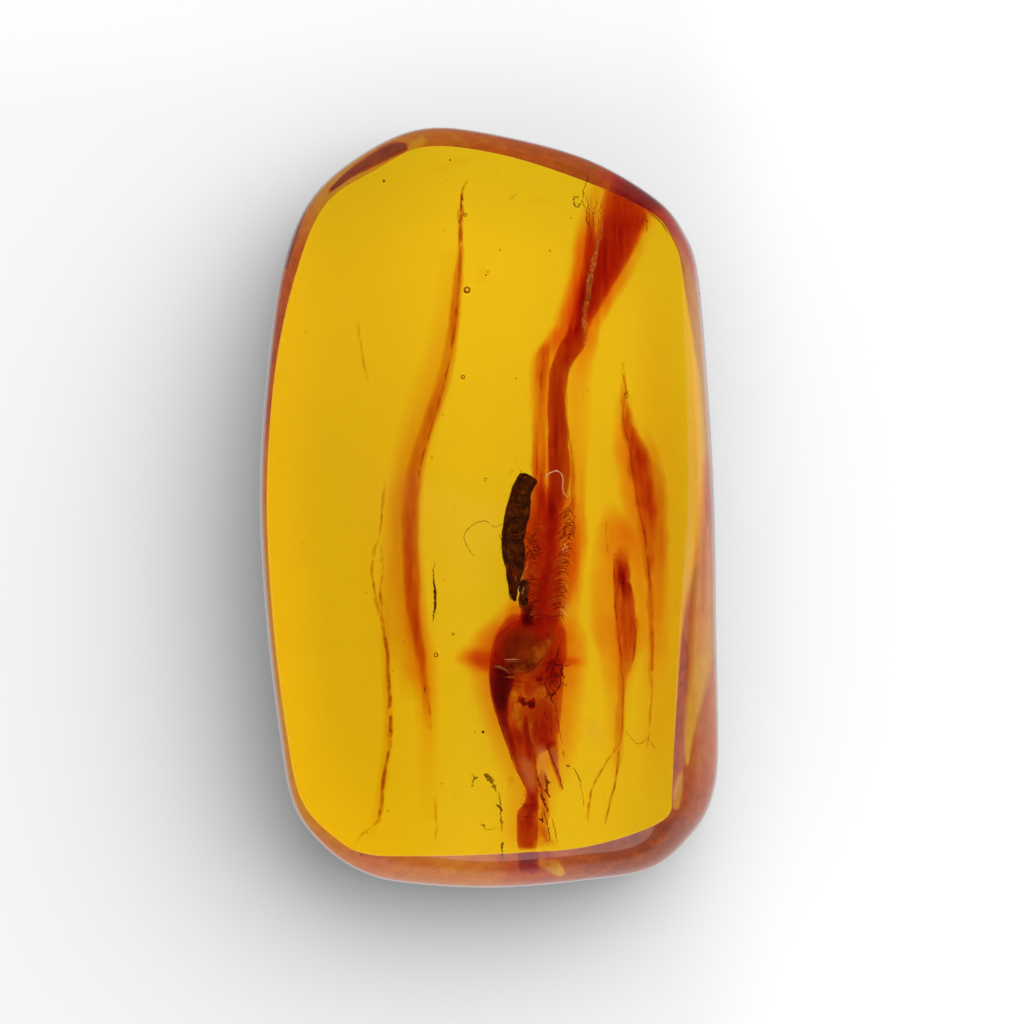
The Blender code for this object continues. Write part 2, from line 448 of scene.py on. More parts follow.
def outlines(count):
    """The columns of OUTLINE at points evenly spaced along the rim: rim, edge, roll, fullness, where the bevel starts
    to darken and how dark it gets, partly painted shade.
    """
    table = np.array(OUTLINE)
    table[:, :4] *= MM
    at = np.linspace(0, len(table), 4096, endpoint=False)
    span = at.astype(int)
    t = (at - span)[:, None]
    before, start, end, after = (table[(span + step) % len(table)] for step in (-1, 0, 1, 2))
    dense = 0.5 * (
        2 * start
        + (end - before) * t
        + (2 * before - 5 * start + 4 * end - after) * t**2
        + (3 * start - before - 3 * end + after) * t**3
    )
    even = evenly(dense, 1024)
    rim = even[:, :2]
    for _ in range(50):
        rim = (np.roll(rim, 1, 0) + 2 * rim + np.roll(rim, -1, 0)) / 4
    centre = (rim.min(0) + rim.max(0)) / 2
    even = evenly(np.column_stack([rim, even[:, 2:]]), count)
    return even[:, :2] - centre, even[:, 2:4] - centre, *even[:, 4:].T


def foot_outline(rim):
    return rim * (FOOT_WIDTH, FOOT_LENGTH) - (FOOT_SHIFT, 0)


def bevel_ring(rim, edge, roll, fullness, share):
    turn = share * math.pi / 2
    outwards = (math.sin(turn) ** (2 / roll))[:, None]
    upwards = max(math.cos(turn), 0) ** (2 / fullness)
    height = GIRDLE_Z + (TOP_Z - CROWN - GIRDLE_Z) * upwards
    return np.column_stack([edge + (rim - edge) * outwards, height])


def stained_and_shaded(points, skin_and_shade):
    """How dark the bevel is at points of one ring, partly painted shade, with the stains laid over it."""
    places = as_pixels(points)
    for value, *stroke in STAINS_AND_SHADE:
        stroke = spline(stroke, 80)
        away = np.linalg.norm(places[:, None] - stroke[None, :, :2], axis=2) / stroke[:, 2]
        cover = 1 - smoothstep(away.min(1), 0.55, 1.25)
        skin_and_shade = skin_and_shade + (value - skin_and_shade) * cover
    return skin_and_shade


def make_stone():
    around, tops, bevels, lowers, unders = 640, 14, 72, 24, 4
    rim, edge, roll, fullness, start, depth = outlines(around)
    rings, skin_and_shade = [], []
    for share in [n / tops for n in range(1, tops)] + [0.992, 0.998, 1.0]:
        rings.append(np.column_stack([edge * share, np.full(around, TOP_Z - CROWN * share**2)]))
        skin_and_shade.append(np.zeros(around))
    # down the bevel it darkens: partly the skin's own colour, partly painted shade for the dark seen through steep
    # bevels
    for n in range(1, bevels + 1):
        rings.append(bevel_ring(rim, edge, roll, fullness, n / bevels))
        fade = smoothstep(n / bevels, start, start * 2 + 0.04)
        skin_and_shade.append(stained_and_shaded(rings[-1], depth) * fade)
    foot = foot_outline(rim)
    for n in range(1, lowers + 1):
        turn = n / lowers * math.pi / 2
        ring = rim + (foot - rim) * (1 - math.cos(turn))
        rings.append(np.column_stack([ring, np.full(around, GIRDLE_Z * (1 - math.sin(turn)))]))
        skin_and_shade.append(depth * (1 - smoothstep(n / lowers, 0.5, 1.0)))
    for n in range(1, unders):
        rings.append(np.column_stack([foot * (1 - n / unders), np.zeros(around)]))
        skin_and_shade.append(np.zeros(around))
    shape = Shape()
    shape.rings(rings, np.concatenate(skin_and_shade))
    return shape.build("amber_stone", stone_material())


def stone_material():
    tree = Tree("amber_stone")
    patches = tree.math("ADD", tree.noise(260.0, 6.0, 0.65), tree.noise(1400.0, 3.0, 0.6))
    # the tone darkens the bevels: partly the skin's own colour, partly painted shade
    skin_and_shade = tree.math("MULTIPLY", tree.attribute("tone"), tree.math("MULTIPLY_ADD", patches, 0.55, 0.45))
    colour = tree.ramp(
        skin_and_shade, (0.0, (1, 1, 1)), (0.25, (0.45, 0.29, 0.15)), (0.5, (0.34, 0.07, 0.025)), (0.63, (0.27, 0.022, 0.008)),
        (0.8, (0.11, 0.007, 0.002)), (1.0, (0.05, 0.002, 0.001)),
    )
    scratches = tree.noise(900.0, 3.0, 0.7, (1.0, 0.05, 1.0))
    relief = tree.node("Bump", Strength=0.06, Distance=0.01 * MM, Height=scratches)
    shader = tree.node(
        "BsdfPrincipled", Base_Color=colour, Roughness=0.03, IOR=AMBER_IOR, Transmission_Weight=1.0,
        Normal=relief.outputs[0],
    )
    tree.surface(shader.outputs[0])
    tree.volume(tree.node("VolumeAbsorption", Color=(0.968, 0.9105, 0.30, 1), Density=800.0).outputs[0])
    return tree.material


# --- Floor, light and what keeps the stone's own glow off the floor ------------------------------------------
def make_world():
    tree = Tree("studio", world=True)
    towards = tree.node("TexCoord").outputs["Generated"]

    def facing(direction):
        node = tree.node("VectorMath", _0=towards, _1=direction)
        node.operation = "DOT_PRODUCT"
        return node.outputs["Value"]

    split = tree.node("SeparateXYZ", Vector=towards)
    up = split.outputs["Z"]
    key = tree.smooth(facing((0.50, 0.48, 0.72)), 0.68, 0.94, 0.0, 4.6)
    low = tree.smooth(up, -0.2, 0.08, 1.0, 0.0)
    table = tree.math("MULTIPLY", low, tree.smooth(facing((0.75, -0.66, 0.0)), -0.2, 0.8, 0.15, 1.25))
    walls = tree.math("MAXIMUM", tree.smooth(up, -0.3, 0.5, 0.1, 1.3), tree.smooth(up, -0.97, -0.8, 0.55, 0.0))
    walls = tree.math("MULTIPLY", walls, tree.math("MULTIPLY_ADD", split.outputs["Y"], 0.32, 1.0))
    overhead = tree.smooth(up, 0.90, 0.985, 0.0, 1.3)
    total = tree.math("SUBTRACT", tree.math("ADD", tree.math("ADD", key, table), walls), overhead)
    tree.surface(tree.node("Background", Strength=total).outputs[0])
    bpy.context.scene.world = tree.material


def sheet(name, points, faces, shader_tree):
    mesh = bpy.data.meshes.new(name)
    mesh.from_pydata([tuple(p) for p in points], [], faces)
    mesh.materials.append(shader_tree.material)
    obj = bpy.data.objects.new(name, mesh)
    bpy.context.scene.collection.objects.link(obj)
    return obj


def make_studio():
    tree = Tree("floor")
    place = tree.node("SeparateXYZ", Vector=tree.node("TexCoord").outputs["Object"]).outputs
    # the floor is painted lighter towards +x and +y: painted light, as if more fell on the right and the top
    floor_painted_light = tree.math("MULTIPLY", tree.smooth(place["X"], 9 * MM, 17 * MM, 0.53, 0.585), tree.smooth(place["Y"], 20 * MM, 27 * MM, 1.0, 1.05))
    tree.surface(tree.node("BsdfDiffuse", Color=floor_painted_light).outputs[0])
    corners = ((-1, -1), (1, -1), (1, 1), (-1, 1))
    floor = sheet("floor", [(x, y, -0.02 * MM) for x, y in corners], [(0, 1, 2, 3)], tree)
    floor.visible_glossy = False

    # a glowing card under the stone, as light gathered in the stone would make the floor there
    tree = Tree("card")
    matt = tree.node("BsdfDiffuse", Color=(0.45, 0.45, 0.45, 1)).outputs[0]
    place = tree.node("SeparateXYZ", Vector=tree.node("TexCoord").outputs["Object"]).outputs
    across = tree.math("MULTIPLY_ADD", place["X"], 1 / (24 * MM), 0.5)
    colour = tree.ramp(
        across, (0.0, (0.85, 0.80, 0.9)), (0.25, (0.90, 0.86, 0.9)), (0.45, (1.03, 1.02, 1.0)), (0.7, (1.04, 1.04, 1.0)),
        (0.85, (1.02, 0.96, 0.9)), (1.0, (0.99, 0.92, 0.9)),
    )
    glow = tree.node("Emission", Color=colour, Strength=tree.smooth(place["Y"], 1 * MM, 13 * MM, 0.72, 0.79)).outputs[0]
    tree.surface(tree.node("AddShader", _0=matt, _1=glow).outputs[0])
    tree.material.cycles.emission_sampling = "NONE"
    rim = outlines(96)[0]
    sheet("card", [(x, y, -0.01 * MM) for x, y in foot_outline(rim)], [tuple(range(96))], tree)

    # a grey shell round the stone that only the floor's bounced light meets: no stray amber light on the floor
    tree = Tree("flag")
    tree.surface(tree.node("BsdfDiffuse", Color=(0.1, 0.1, 0.1, 1)).outputs[0])
    levels = ((1.01, 0.0), (1.01, 4.0), (1.005, 7.5), (0.97, 8.7))
    points = [(x * scale, y * scale, height * MM) for scale, height in levels for x, y in rim]
    faces = [
        (k * 96 + i, k * 96 + (i + 1) % 96, k * 96 + 96 + (i + 1) % 96, k * 96 + 96 + i)
        for k in range(3)
        for i in range(96)
    ]
    flag = sheet("flag", points, faces + [tuple(range(288, 384))], tree)
    flag.visible_camera = flag.visible_glossy = flag.visible_transmission = False
    flag.visible_shadow = flag.visible_volume_scatter = False

    # a black flag that keeps the key light out of the bevel's reflections, as a polarising filter would; only
    # reflections see it, and its faint glow, strongest towards -y, is a painted reflection on the stone's faces
    tree = Tree("black_flag")
    place = tree.node("SeparateXYZ", Vector=tree.node("TexCoord").outputs["Object"]).outputs
    haze = tree.math("ADD", tree.smooth(place["Y"], 0.05, 0.3, 0.70, 0.16), tree.smooth(place["Y"], -0.14, 0.02, 1.2, 0.0))
    haze = tree.math("MULTIPLY", haze, tree.smooth(place["Z"], 0.52, 0.585, 1.0, 0.03))
    tree.surface(tree.node("Emission", Strength=haze).outputs[0])
    tree.material.cycles.emission_sampling = "NONE"
    across, tall = 32, 8
    points = []
    for k in range(tall + 1):
        for i in range(across + 1):
            turn = math.radians(-100 + 265 * i / across)
            low = math.radians(14 - 18 * smoothstep(i / across, 0.39, 0.51))
            rise = low + (math.radians(89.9) - low) * k / tall
            points.append((0.6 * math.cos(rise) * math.cos(turn), 0.6 * math.cos(rise) * math.sin(turn), 0.6 * math.sin(rise)))
    faces = [
        (k * (across + 1) + i, k * (across + 1) + i + 1, (k + 1) * (across + 1) + i + 1, (k + 1) * (across + 1) + i)
        for k in range(tall)
        for i in range(across)
    ]
    flag = sheet("black_flag", points, faces, tree)
    flag.visible_camera = flag.visible_diffuse = flag.visible_transmission = False
    flag.visible_shadow = flag.visible_volume_scatter = False


# --- What is sealed in the stone -----------------------------------------------------------------------------
RED_RESIN = (0.82, 0.33, 0.0), 3480.0
# the orange laid round the dark flows and the insect is painted shadow: the soft shadow they would cast on the floor
# beneath
ORANGE_SHADOW_TINT = (0.93, 0.35, 0.0), 1500.0


def make_resin_flows():
    red = absorber("resin_red", *RED_RESIN)
    orange_shadow = absorber("resin_orange_shadow", *ORANGE_SHADOW_TINT)

    left = Shape()
    left.cloud(1.1, 3.4, (
        (1.0, 0.45, (
            (222, 457, 463, 0.05), (245, 457, 464, 0.28), (260, 455.5, 464, 0.42), (290, 451, 463, 0.46), (326, 447, 459.5, 0.50),
            (359, 440, 456, 0.32), (389, 432, 449, 0.34), (424, 420, 437, 0.38), (451, 411, 429, 0.42), (473, 405, 425, 0.40),
            (500, 401, 421, 0.44), (540, 401, 420, 0.52), (568, 402, 421, 0.55), (597, 404, 421, 0.58), (626, 409, 422, 0.58),
            (656, 415, 427, 0.50), (674, 418, 428, 0.32), (700, 421, 431, 0.20), (730, 424, 433, 0.02),
        )),
        (1.0, 0.3, (
            (250, 440, 466, 0.03), (330, 428, 460, 0.08), (400, 405, 448, 0.11), (450, 392, 430, 0.15), (500, 384, 424, 0.20),
            (560, 380, 424, 0.22), (620, 380, 428, 0.20), (660, 388, 432, 0.12), (700, 400, 432, 0.02),
        )),
        (1.0, 0.6, (
            (596, 378, 390, 0.02), (640, 380, 392, 0.10), (690, 382, 393, 0.14), (720, 383, 395, 0.16), (755, 380, 392, 0.12),
            (800, 374, 386, 0.06), (842, 366, 376, 0.01),
        )),
    ), (3.0, 0.35), 1.0)
    left.build("resin_flow_left", red)
    # the orange round the left flow is painted shadow
    left = Shape()
    left.cloud(2.4, 5.2, (
        (1.2, 0.3, (
            (556, 400, 428, 0.05), (597, 402, 428, 0.30), (626, 402, 432, 0.52), (656, 404, 438, 0.58), (674, 404, 440, 0.58),
            (690, 412, 440, 0.48), (720, 416, 440, 0.28), (760, 416, 440, 0.14), (820, 420, 440, 0.03),
        )),
        (1.2, 0.3, (
            (300, 444, 464, 0.02), (389, 420, 452, 0.10), (451, 400, 432, 0.16), (500, 392, 424, 0.22), (568, 392, 424, 0.22), (640, 396, 428, 0.10),
            (700, 400, 420, 0.01),
        )),
    ), (1.4, 0.3), 2.0, 2.0)
    left.build("resin_flow_left_painted_shadow", orange_shadow)

    centre = Shape()
    centre.cloud(0.9, 3.8, (
        # the wedge, darkest beside the pale crack, and the strip on the crack's other side
        (0.55, 0.40, (
            (180, 604, 632, 0.2), (188, 603.5, 637, 0.6), (198, 602.5, 645, 0.65), (206, 601, 648, 0.6), (214, 600, 648, 0.7),
            (222, 598.5, 647, 0.85), (232, 596.5, 642, 0.9), (240, 594, 639, 0.9), (248, 592, 635, 0.9), (256, 589.5, 631, 0.9),
            (264, 587, 627, 0.95), (272, 585, 622, 1.0), (288, 581, 612, 1.05), (304, 578, 603, 1.0), (321, 575.5, 593, 0.7),
            (332, 573, 588, 0.3), (341, 572, 586, 0.03),
        )),
        (0.9, 0.45, (
            (198, 602, 622, 0.05), (222, 599, 618, 0.25), (240, 595, 614, 0.30), (256, 591, 611, 0.30), (272, 588, 606, 0.3), (300, 582, 597, 0.2),
            (324, 574, 590, 0.03),
        )),
        (0.8, 0.45, (
            (208, 584, 591, 0.03), (226, 585, 595, 0.4), (240, 584.5, 596, 0.8), (256, 583, 594.5, 0.75), (272, 580, 592, 0.65),
            (288, 576, 590, 0.65), (304, 573, 588, 0.75), (321, 569, 586, 0.8), (332, 566, 585.5, 0.85), (340, 562, 584, 0.3), (347, 561, 580, 0.03),
        )),
        # the core further down
        (0.42, 0.30, (
            (324, 570, 587, 0.03), (334, 566, 588, 0.5), (342, 561, 587, 1.1), (350, 557, 583, 1.15), (360, 553, 575, 1.25),
            (370, 549.5, 570, 1.2), (380, 548, 567.5, 1.2), (400, 547.5, 566, 1.25), (430, 547.5, 567.5, 1.35), (450, 547.5, 569, 1.3),
            (467, 547.5, 570.5, 1.3), (480, 547.5, 569.5, 1.2), (500, 547, 566, 1.05), (512, 546.5, 563, 0.6), (524, 546, 562, 0.3), (540, 546, 560, 0.03),
        )),
        (0.8, 0.4, ((416, 548, 558, 0.03), (440, 548, 559, 0.22), (480, 548, 560, 0.32), (500, 548, 560, 0.32), (520, 548, 558, 0.2), (540, 548, 558, 0.02))),
        (0.5, 0.5, ((436, 564, 575, 0.02), (460, 564, 576, 0.15), (490, 563, 577, 0.22), (512, 562, 576, 0.03))),
        (0.6, 0.8, (
            (342, 542, 553, 0.03), (352, 537, 550, 0.35), (360, 536, 550, 0.35), (380, 534, 548, 0.38), (400, 533, 546, 0.20),
            (430, 533, 546, 0.18), (467, 531, 546, 0.32), (490, 534, 547, 0.35), (505, 534, 547, 0.28), (524, 534, 546, 0.02),
        )),
    ), (4.2, 0.35), 5.0, 1.0)
    centre.build("resin_flow_centre", red)
    # the orange round the wedge and its core is painted shadow
    side = Shape()
    side.cloud(1.6, 6.4, (
        (1.7, 0.3, (
            (178, 586, 610, 0.1), (190, 583, 611, 0.35), (206, 580, 611, 0.5), (222, 575, 608, 0.8), (240, 571, 606, 1.5), (256, 569, 604, 1.8),
            (272, 567, 602, 1.8), (288, 562, 598, 1.8), (304, 557, 596, 1.9), (321, 552, 592, 1.9), (332, 546, 590, 1.5), (348, 537, 584, 0.6),
            (366, 532, 576, 0.02),
        )),
        (0.7, 0.3, (
            (184, 604, 626, 0.4), (192, 603, 636, 1.2), (206, 601, 653, 1.7), (222, 599, 651, 1.7), (240, 596, 641, 1.3), (256, 592, 632, 1.2), (272, 588, 622, 1.0),
            (300, 584, 606, 0.4), (324, 576, 594, 0.02),
        )),
        (0.9, 0.35, (
            (212, 636, 656, 0.02), (222, 624, 658, 0.3), (240, 606, 649, 0.5), (256, 596, 642, 0.7), (272, 592, 635, 0.9), (288, 588, 626, 1.0),
            (304, 586, 615, 1.05), (321, 584, 604, 0.9), (332, 582, 600, 0.9), (342, 578, 600, 0.85), (360, 570, 594, 0.55), (380, 564, 592, 0.40),
            (400, 562, 592, 0.32), (430, 562, 590, 0.28), (467, 566, 588, 0.42), (500, 570, 586, 0.55), (540, 570, 588, 0.75), (560, 566, 586, 0.6),
            (600, 566, 582, 0.35), (628, 566, 580, 0.05),
        )),
        (0.5, 0.5, (
            (328, 550, 574, 0.1), (340, 544, 568, 0.5), (350, 535, 562, 0.6), (360, 531, 558, 0.65), (380, 529, 555, 0.65), (400, 530, 553, 0.75),
            (430, 531, 553, 0.75), (450, 531, 553, 0.85), (467, 530, 554, 1.0), (490, 533, 553, 1.0), (500, 535, 553, 1.05), (512, 539, 553, 0.4),
            (524, 540, 552, 0.02),
        )),
    ), (3.0, 0.3), 7.0, 1.5)
    side.build("resin_flow_centre_painted_shadow", orange_shadow)

    right = Shape()
    right.cloud(1.0, 3.4, (
        (1.3, 0.6, (
            (364, 620, 626, 0.03), (386, 619, 627, 0.15), (413, 619, 632, 0.4), (430, 621, 638, 0.6), (450, 625, 649, 0.8), (460, 626, 652, 0.85),
            (472, 627, 654, 0.7), (485, 630.5, 656, 0.6), (505, 634, 657, 0.6), (525, 636, 657, 0.4), (545, 638.5, 656, 0.3),
            (560, 641, 654, 0.4), (575, 644, 653, 0.4), (595, 646, 654, 0.35), (630, 647.5, 654, 0.3), (660, 648, 654, 0.25), (700, 648, 652, 0.02),
        )),
        (0.9, 0.5, (
            (426, 640, 650, 0.03), (470, 642, 664, 0.25), (505, 646, 669, 0.32), (540, 648, 669, 0.25), (580, 650, 668, 0.12), (620, 652, 664, 0.02),
        )),
        (0.8, 0.6, (
            (546, 615, 628, 0.05), (556, 613, 630, 0.4), (564, 612.5, 630, 0.8), (572, 612.5, 631, 1.05), (582, 612.5, 632, 1.1),
            (592, 612.5, 633.5, 0.95), (602, 613.5, 635, 0.65), (630, 614.5, 637, 0.55), (650, 616, 636, 0.5), (664, 617, 633, 0.35),
            (680, 617, 627, 0.3), (700, 616, 625, 0.35), (740, 613, 624, 0.22), (775, 612, 620, 0.02),
        )),
        (0.9, 0.4, (
            (560, 616, 626, 0.03), (572, 616, 627, 0.45), (582, 617, 629, 0.45), (592, 621, 633, 0.25), (612, 627, 635, 0.25), (640, 627, 636, 0.2),
            (662, 624, 634, 0.02),
        )),
    ), (4.5, 0.6), 10.0, 2.5)
    right.build("resin_patches_right", red)
    # the orange round the right patches is painted shadow
    right = Shape()
    right.cloud(2.0, 6.0, (
        (1.0, 0.35, (
            (392, 612, 634, 0.05), (413, 613, 636, 0.35), (437, 611, 642, 0.7), (460, 612, 654, 0.85), (485, 616, 660, 0.9), (505, 620, 664, 1.0),
            (525, 620, 666, 0.8), (545, 624, 668, 0.65), (570, 630, 670, 0.5), (600, 634, 670, 0.45), (630, 636, 670, 0.38), (664, 640, 666, 0.2),
            (692, 644, 660, 0.03),
        )),
        (0.9, 0.3, (
            (503, 602, 618, 0.05), (525, 597, 632, 0.7), (545, 592, 641, 0.7), (570, 588, 646, 0.55), (600, 587, 646, 0.55), (630, 589, 646, 0.8),
            (650, 594, 643, 0.8), (664, 599, 638, 0.6), (680, 601, 634, 0.5), (700, 603, 630, 0.28), (740, 604, 626, 0.12), (775, 606, 620, 0.02),
        )),
        (1.0, 0.3, ((290, 640, 676, 0.02), (380, 630, 684, 0.10), (500, 650, 688, 0.14), (700, 636, 684, 0.16), (800, 640, 670, 0.02))),
    ), (1.6, 0.4), 13.0, 2.5)
    right.build("resin_patches_right_painted_shadow", orange_shadow)


def strands(name, material, rows, flecks=None):
    """Jagged threads, each from its depth, radius, jitter and places; flecks gathers bits strewn beside them."""
    shape = Shape()
    rng = np.random.default_rng(len(name))
    for k, (depth, radius, jitter, *path) in enumerate(rows):
        length = np.linalg.norm(np.diff(path, axis=0), axis=1).sum()
        line = [(x, y, depth, radius * (0.45 if n in (0, len(path) - 1) else 1.0)) for n, (x, y) in enumerate(path)]
        shape.strand(line, max(6, int(length / 1.7)), 7, jitter=jitter, seed=len(name) * 100 + k)
        for x, y, *_ in spline(line, max(2, int(length / 5)))[1:] if flecks else ():
            place = (x + rng.normal(0, 1.3), y + rng.normal(0, 1.5), depth + rng.normal(0, 0.05))
            flecks.blob(seen(place)[0], rng.uniform(0.22, 0.6) * rng.uniform(0.5, 1, 3), 0, 0.3, 2.0, x, level=5)
    return shape.build(name, material)


def make_cracks():
    """Thin cracks, threads of dirt and the pale, air-filled crack beside the wedge."""
    dirt = tissue("dirt", ((0.2, (0.03, 0.006, 0.001)), (0.8, (0.20, 0.06, 0.006))), 1500.0, 0.5, bump=0.2, clear=0.25)
    faint = tissue("faint_crack", ((0.2, (0.14, 0.03, 0.003)), (0.8, (0.42, 0.15, 0.01))), 1500.0, 0.4, clear=0.5)
    pale = tissue("pale_crack", ((0.2, (0.45, 0.08, 0.008)), (0.8, (1.0, 0.42, 0.10))), 2500.0, 0.3, clear=0.3)

    # each crack: its depth of tint in mm, its width in pixels, and its course
    lines = (
        (0.05, 3.0, (385.5, 478), (383.2, 498), (381.0, 524), (379.2, 538)),
        (0.07, 3.6, (379, 535), (374.0, 552), (372.0, 571), (374.5, 588), (377.0, 606), (381.5, 621)),
        (0.06, 3.4, (379, 535), (381.8, 556), (382.6, 574), (380.0, 588), (381.2, 604), (381.5, 621)),
        (0.12, 4.4, (381.5, 616), (384.0, 632), (387.0, 650), (388.4, 670), (389.0, 691), (390.6, 720), (390.4, 738), (388.4, 752), (385.0, 770), (382.6, 788), (381.6, 805), (378.4, 823)),
        (0.08, 3.0, (379.5, 818), (372, 827), (363.4, 833), (356, 842)),
        (0.04, 2.6, (357, 308), (360, 340), (363, 358), (369, 384)),
        (0.16, 2.6, (467.5, 181), (462.6, 191), (461.0, 207), (460.4, 228), (460.6, 248)),
        (0.10, 2.2, (463.5, 196), (462.8, 212), (462.2, 228), (461.5, 242)), (0.08, 2.0, (458.8, 202), (458.4, 216), (458.8, 236), (459.4, 250)),
        (0.08, 2.6, (460.4, 244), (459.8, 262), (459.9, 275), (457.6, 299), (455.0, 326), (449.6, 358), (442.8, 389), (432.6, 424), (424.4, 451), (418.8, 473), (416.4, 500)),
        (0.06, 3.0, (427, 696), (430, 712), (430.7, 730)), (0.06, 3.0, (435, 796), (436, 820), (435, 844)),
        (0.05, 2.2, (583, 345), (576, 356), (569.0, 368), (566.8, 385), (567.0, 410), (568.4, 435), (572.0, 455), (573.4, 480), (573.8, 510), (574.4, 545), (574.6, 577)),
        (0.06, 2.0, (536.6, 405), (537.0, 450), (536.6, 475), (537.2, 492)), (0.06, 2.0, (541.0, 468), (540.6, 485), (541.2, 507)),
        (0.06, 2.2, (544, 364), (541, 378), (540.6, 394)), (0.06, 2.0, (571.5, 458), (571.8, 490), (572.4, 522)),
        (0.07, 2.6, (623, 362), (623.8, 378), (625.4, 388), (622.6, 413), (625, 432), (629, 445), (632, 467), (634.8, 484), (637, 500), (640, 515), (644, 533), (647, 556), (649, 577), (649.3, 593)),
        (0.06, 2.6, (606, 519), (606.5, 538), (607.4, 554)),
        (0.07, 2.6, (614.5, 553), (613.8, 575), (614.6, 597), (616.8, 622), (619.6, 648), (622.6, 679), (622.6, 702), (622, 726), (619.5, 746)),
        (0.07, 2.6, (626.0, 556), (629.0, 580), (633.0, 608), (635.0, 630), (633.6, 655), (628.0, 673)),
        (0.08, 2.8, (619.5, 743), (608.8, 758), (600, 773), (594, 784.5), (590.7, 793), (587.8, 811), (588.3, 824)),
        (0.09, 2.8, (619.0, 745), (617.6, 767), (614.7, 784.5), (610.9, 799), (607.4, 814), (604.5, 824)),
        (0.05, 2.6, (650.7, 595), (652.8, 638), (652.2, 656), (651.3, 697), (649.8, 714), (648.4, 735), (645.4, 754)),
    )
    shape = Shape()
    bands = []
    for thick, wide, *path in lines:
        ends = (0, len(path) - 1)
        bands.append((0.8, 1.7, [(y, x - wide / 2, x + wide / 2, thick * (0.1 if n in ends else 0.62)) for n, (x, y) in enumerate(path)]))
    shape.cloud(0.5, 2.3, bands, (2.6, 1.8), 31.0, 1.1)
    shape.build("cracks", absorber("crack_tint", (0.80, 0.48, 0.20), 25000.0))

    flecks = Shape()
    strands("dirt_threads", faint, (
        (3.0, 0.50, 0.5, (424.8, 684), (425.6, 689), (423.8, 694)), (3.0, 0.45, 0.5, (422.6, 686), (424.6, 690), (427.0, 692)),
        (1.6, 0.45, 0.4, (510, 197), (514, 195.5), (518, 192)), (1.6, 0.30, 0.4, (508, 199), (512, 198.5), (515, 198)),
        (1.6, 0.60, 0.6, (586, 182), (583.5, 190), (582, 200), (577, 207), (574, 203), (574, 198), (579, 197)),
        (1.6, 0.65, 0.6, (582, 200), (586, 210), (588, 222), (591, 236)), (1.6, 0.45, 0.6, (586, 195), (588, 205), (590, 230)),
        (1.6, 0.40, 0.6, (590, 196), (592, 214), (594, 232)), (1.6, 0.45, 0.6, (597, 200), (594, 216), (593, 230)),
        (1.6, 0.35, 0.6, (603, 196), (600, 212), (597, 232)),
        (1.4, 0.55, 0.5, (645, 214), (642, 222), (639, 232)), (1.4, 0.60, 0.5, (645.5, 217), (646.4, 224), (647, 231)),
        (2.7, 0.42, 0.5, (625.4, 388), (628.0, 393), (626.5, 398), (623.5, 394)),
        (2.2, 0.40, 0.5, (647, 738), (640, 744), (632, 740), (626.4, 731.8)), (2.2, 0.40, 0.5, (648, 736), (652, 744), (655.7, 749)),
    ), flecks)
    strands("crack_dark_dash", dirt, (
        (2.0, 0.60, 0.4, (434.5, 562), (433.4, 574), (434.6, 584), (435.6, 597), (434.0, 612), (433.0, 622)),
        (2.0, 1.15, 0.4, (433.6, 580), (434.8, 590), (435.6, 600), (434.6, 613)),
    ), flecks)
    shape = Shape()
    shape.cloud(0.5, 0.7, (
        (0.6, 0.9, (
            (196, 606, 608, 0.02), (208, 603.4, 606.4, 0.10), (226, 599.4, 603.2, 0.18), (242, 595, 600.6, 0.35), (258, 591.4, 598.4, 0.45), (274, 587, 594.4, 0.50),
            (290, 585, 591.6, 0.45), (305, 582.5, 589, 0.35), (320, 581.5, 588, 0.40), (335, 581.6, 587.4, 0.35), (347, 582, 586, 0.10),
        )),
    ), (9.0, 4.0), 33.0, 2.0, soft=True)
    shape.build("crack_pale", pale)

    rng = np.random.default_rng(21)
    specks = Shape()
    fixed = (
        (384, 181, 1.4, 1.3), (483, 732, 2.0, 1.5), (475, 732, 2.0, 0.7), (622.6, 582.5, 2.4, 1.3), (700, 293, 1.4, 0.6),
        (550, 251, 1.5, 0.9), (571, 218, 1.5, 0.8), (486, 275, 1.5, 0.9), (450, 160, 1.3, 0.8), (601, 232, 1.5, 0.6),
    )
    loose = zip(rng.uniform(285, 670, 110), rng.uniform(160, 845, 110), rng.uniform(1.2, 6.0, 110), rng.uniform(0.2, 0.5, 110))
    for x, y, depth, radius in (*fixed, *(row for row in loose if in_slab(*row[:2]))):
        size = np.array((1.0, rng.uniform(0.6, 1.0), rng.uniform(0.5, 1.0))) * radius
        specks.blob(seen((x, y, depth))[0], size, rng.uniform(0, 3), 0.35, 1.5, x, level=7)
    specks.crumbs(rng, 8, (568, 766), (2, 2), 2.2, (0.3, 0.6))
    specks.crumbs(rng, 8, (485, 480), (3, 2), 2.4, (0.3, 0.7))
    specks.build("dirt_specks", dirt)
    flecks.crumbs(rng, 14, (548, 841), (10, 3), 1.2, (0.3, 0.6))
    flecks.build("pale_flecks", pale)

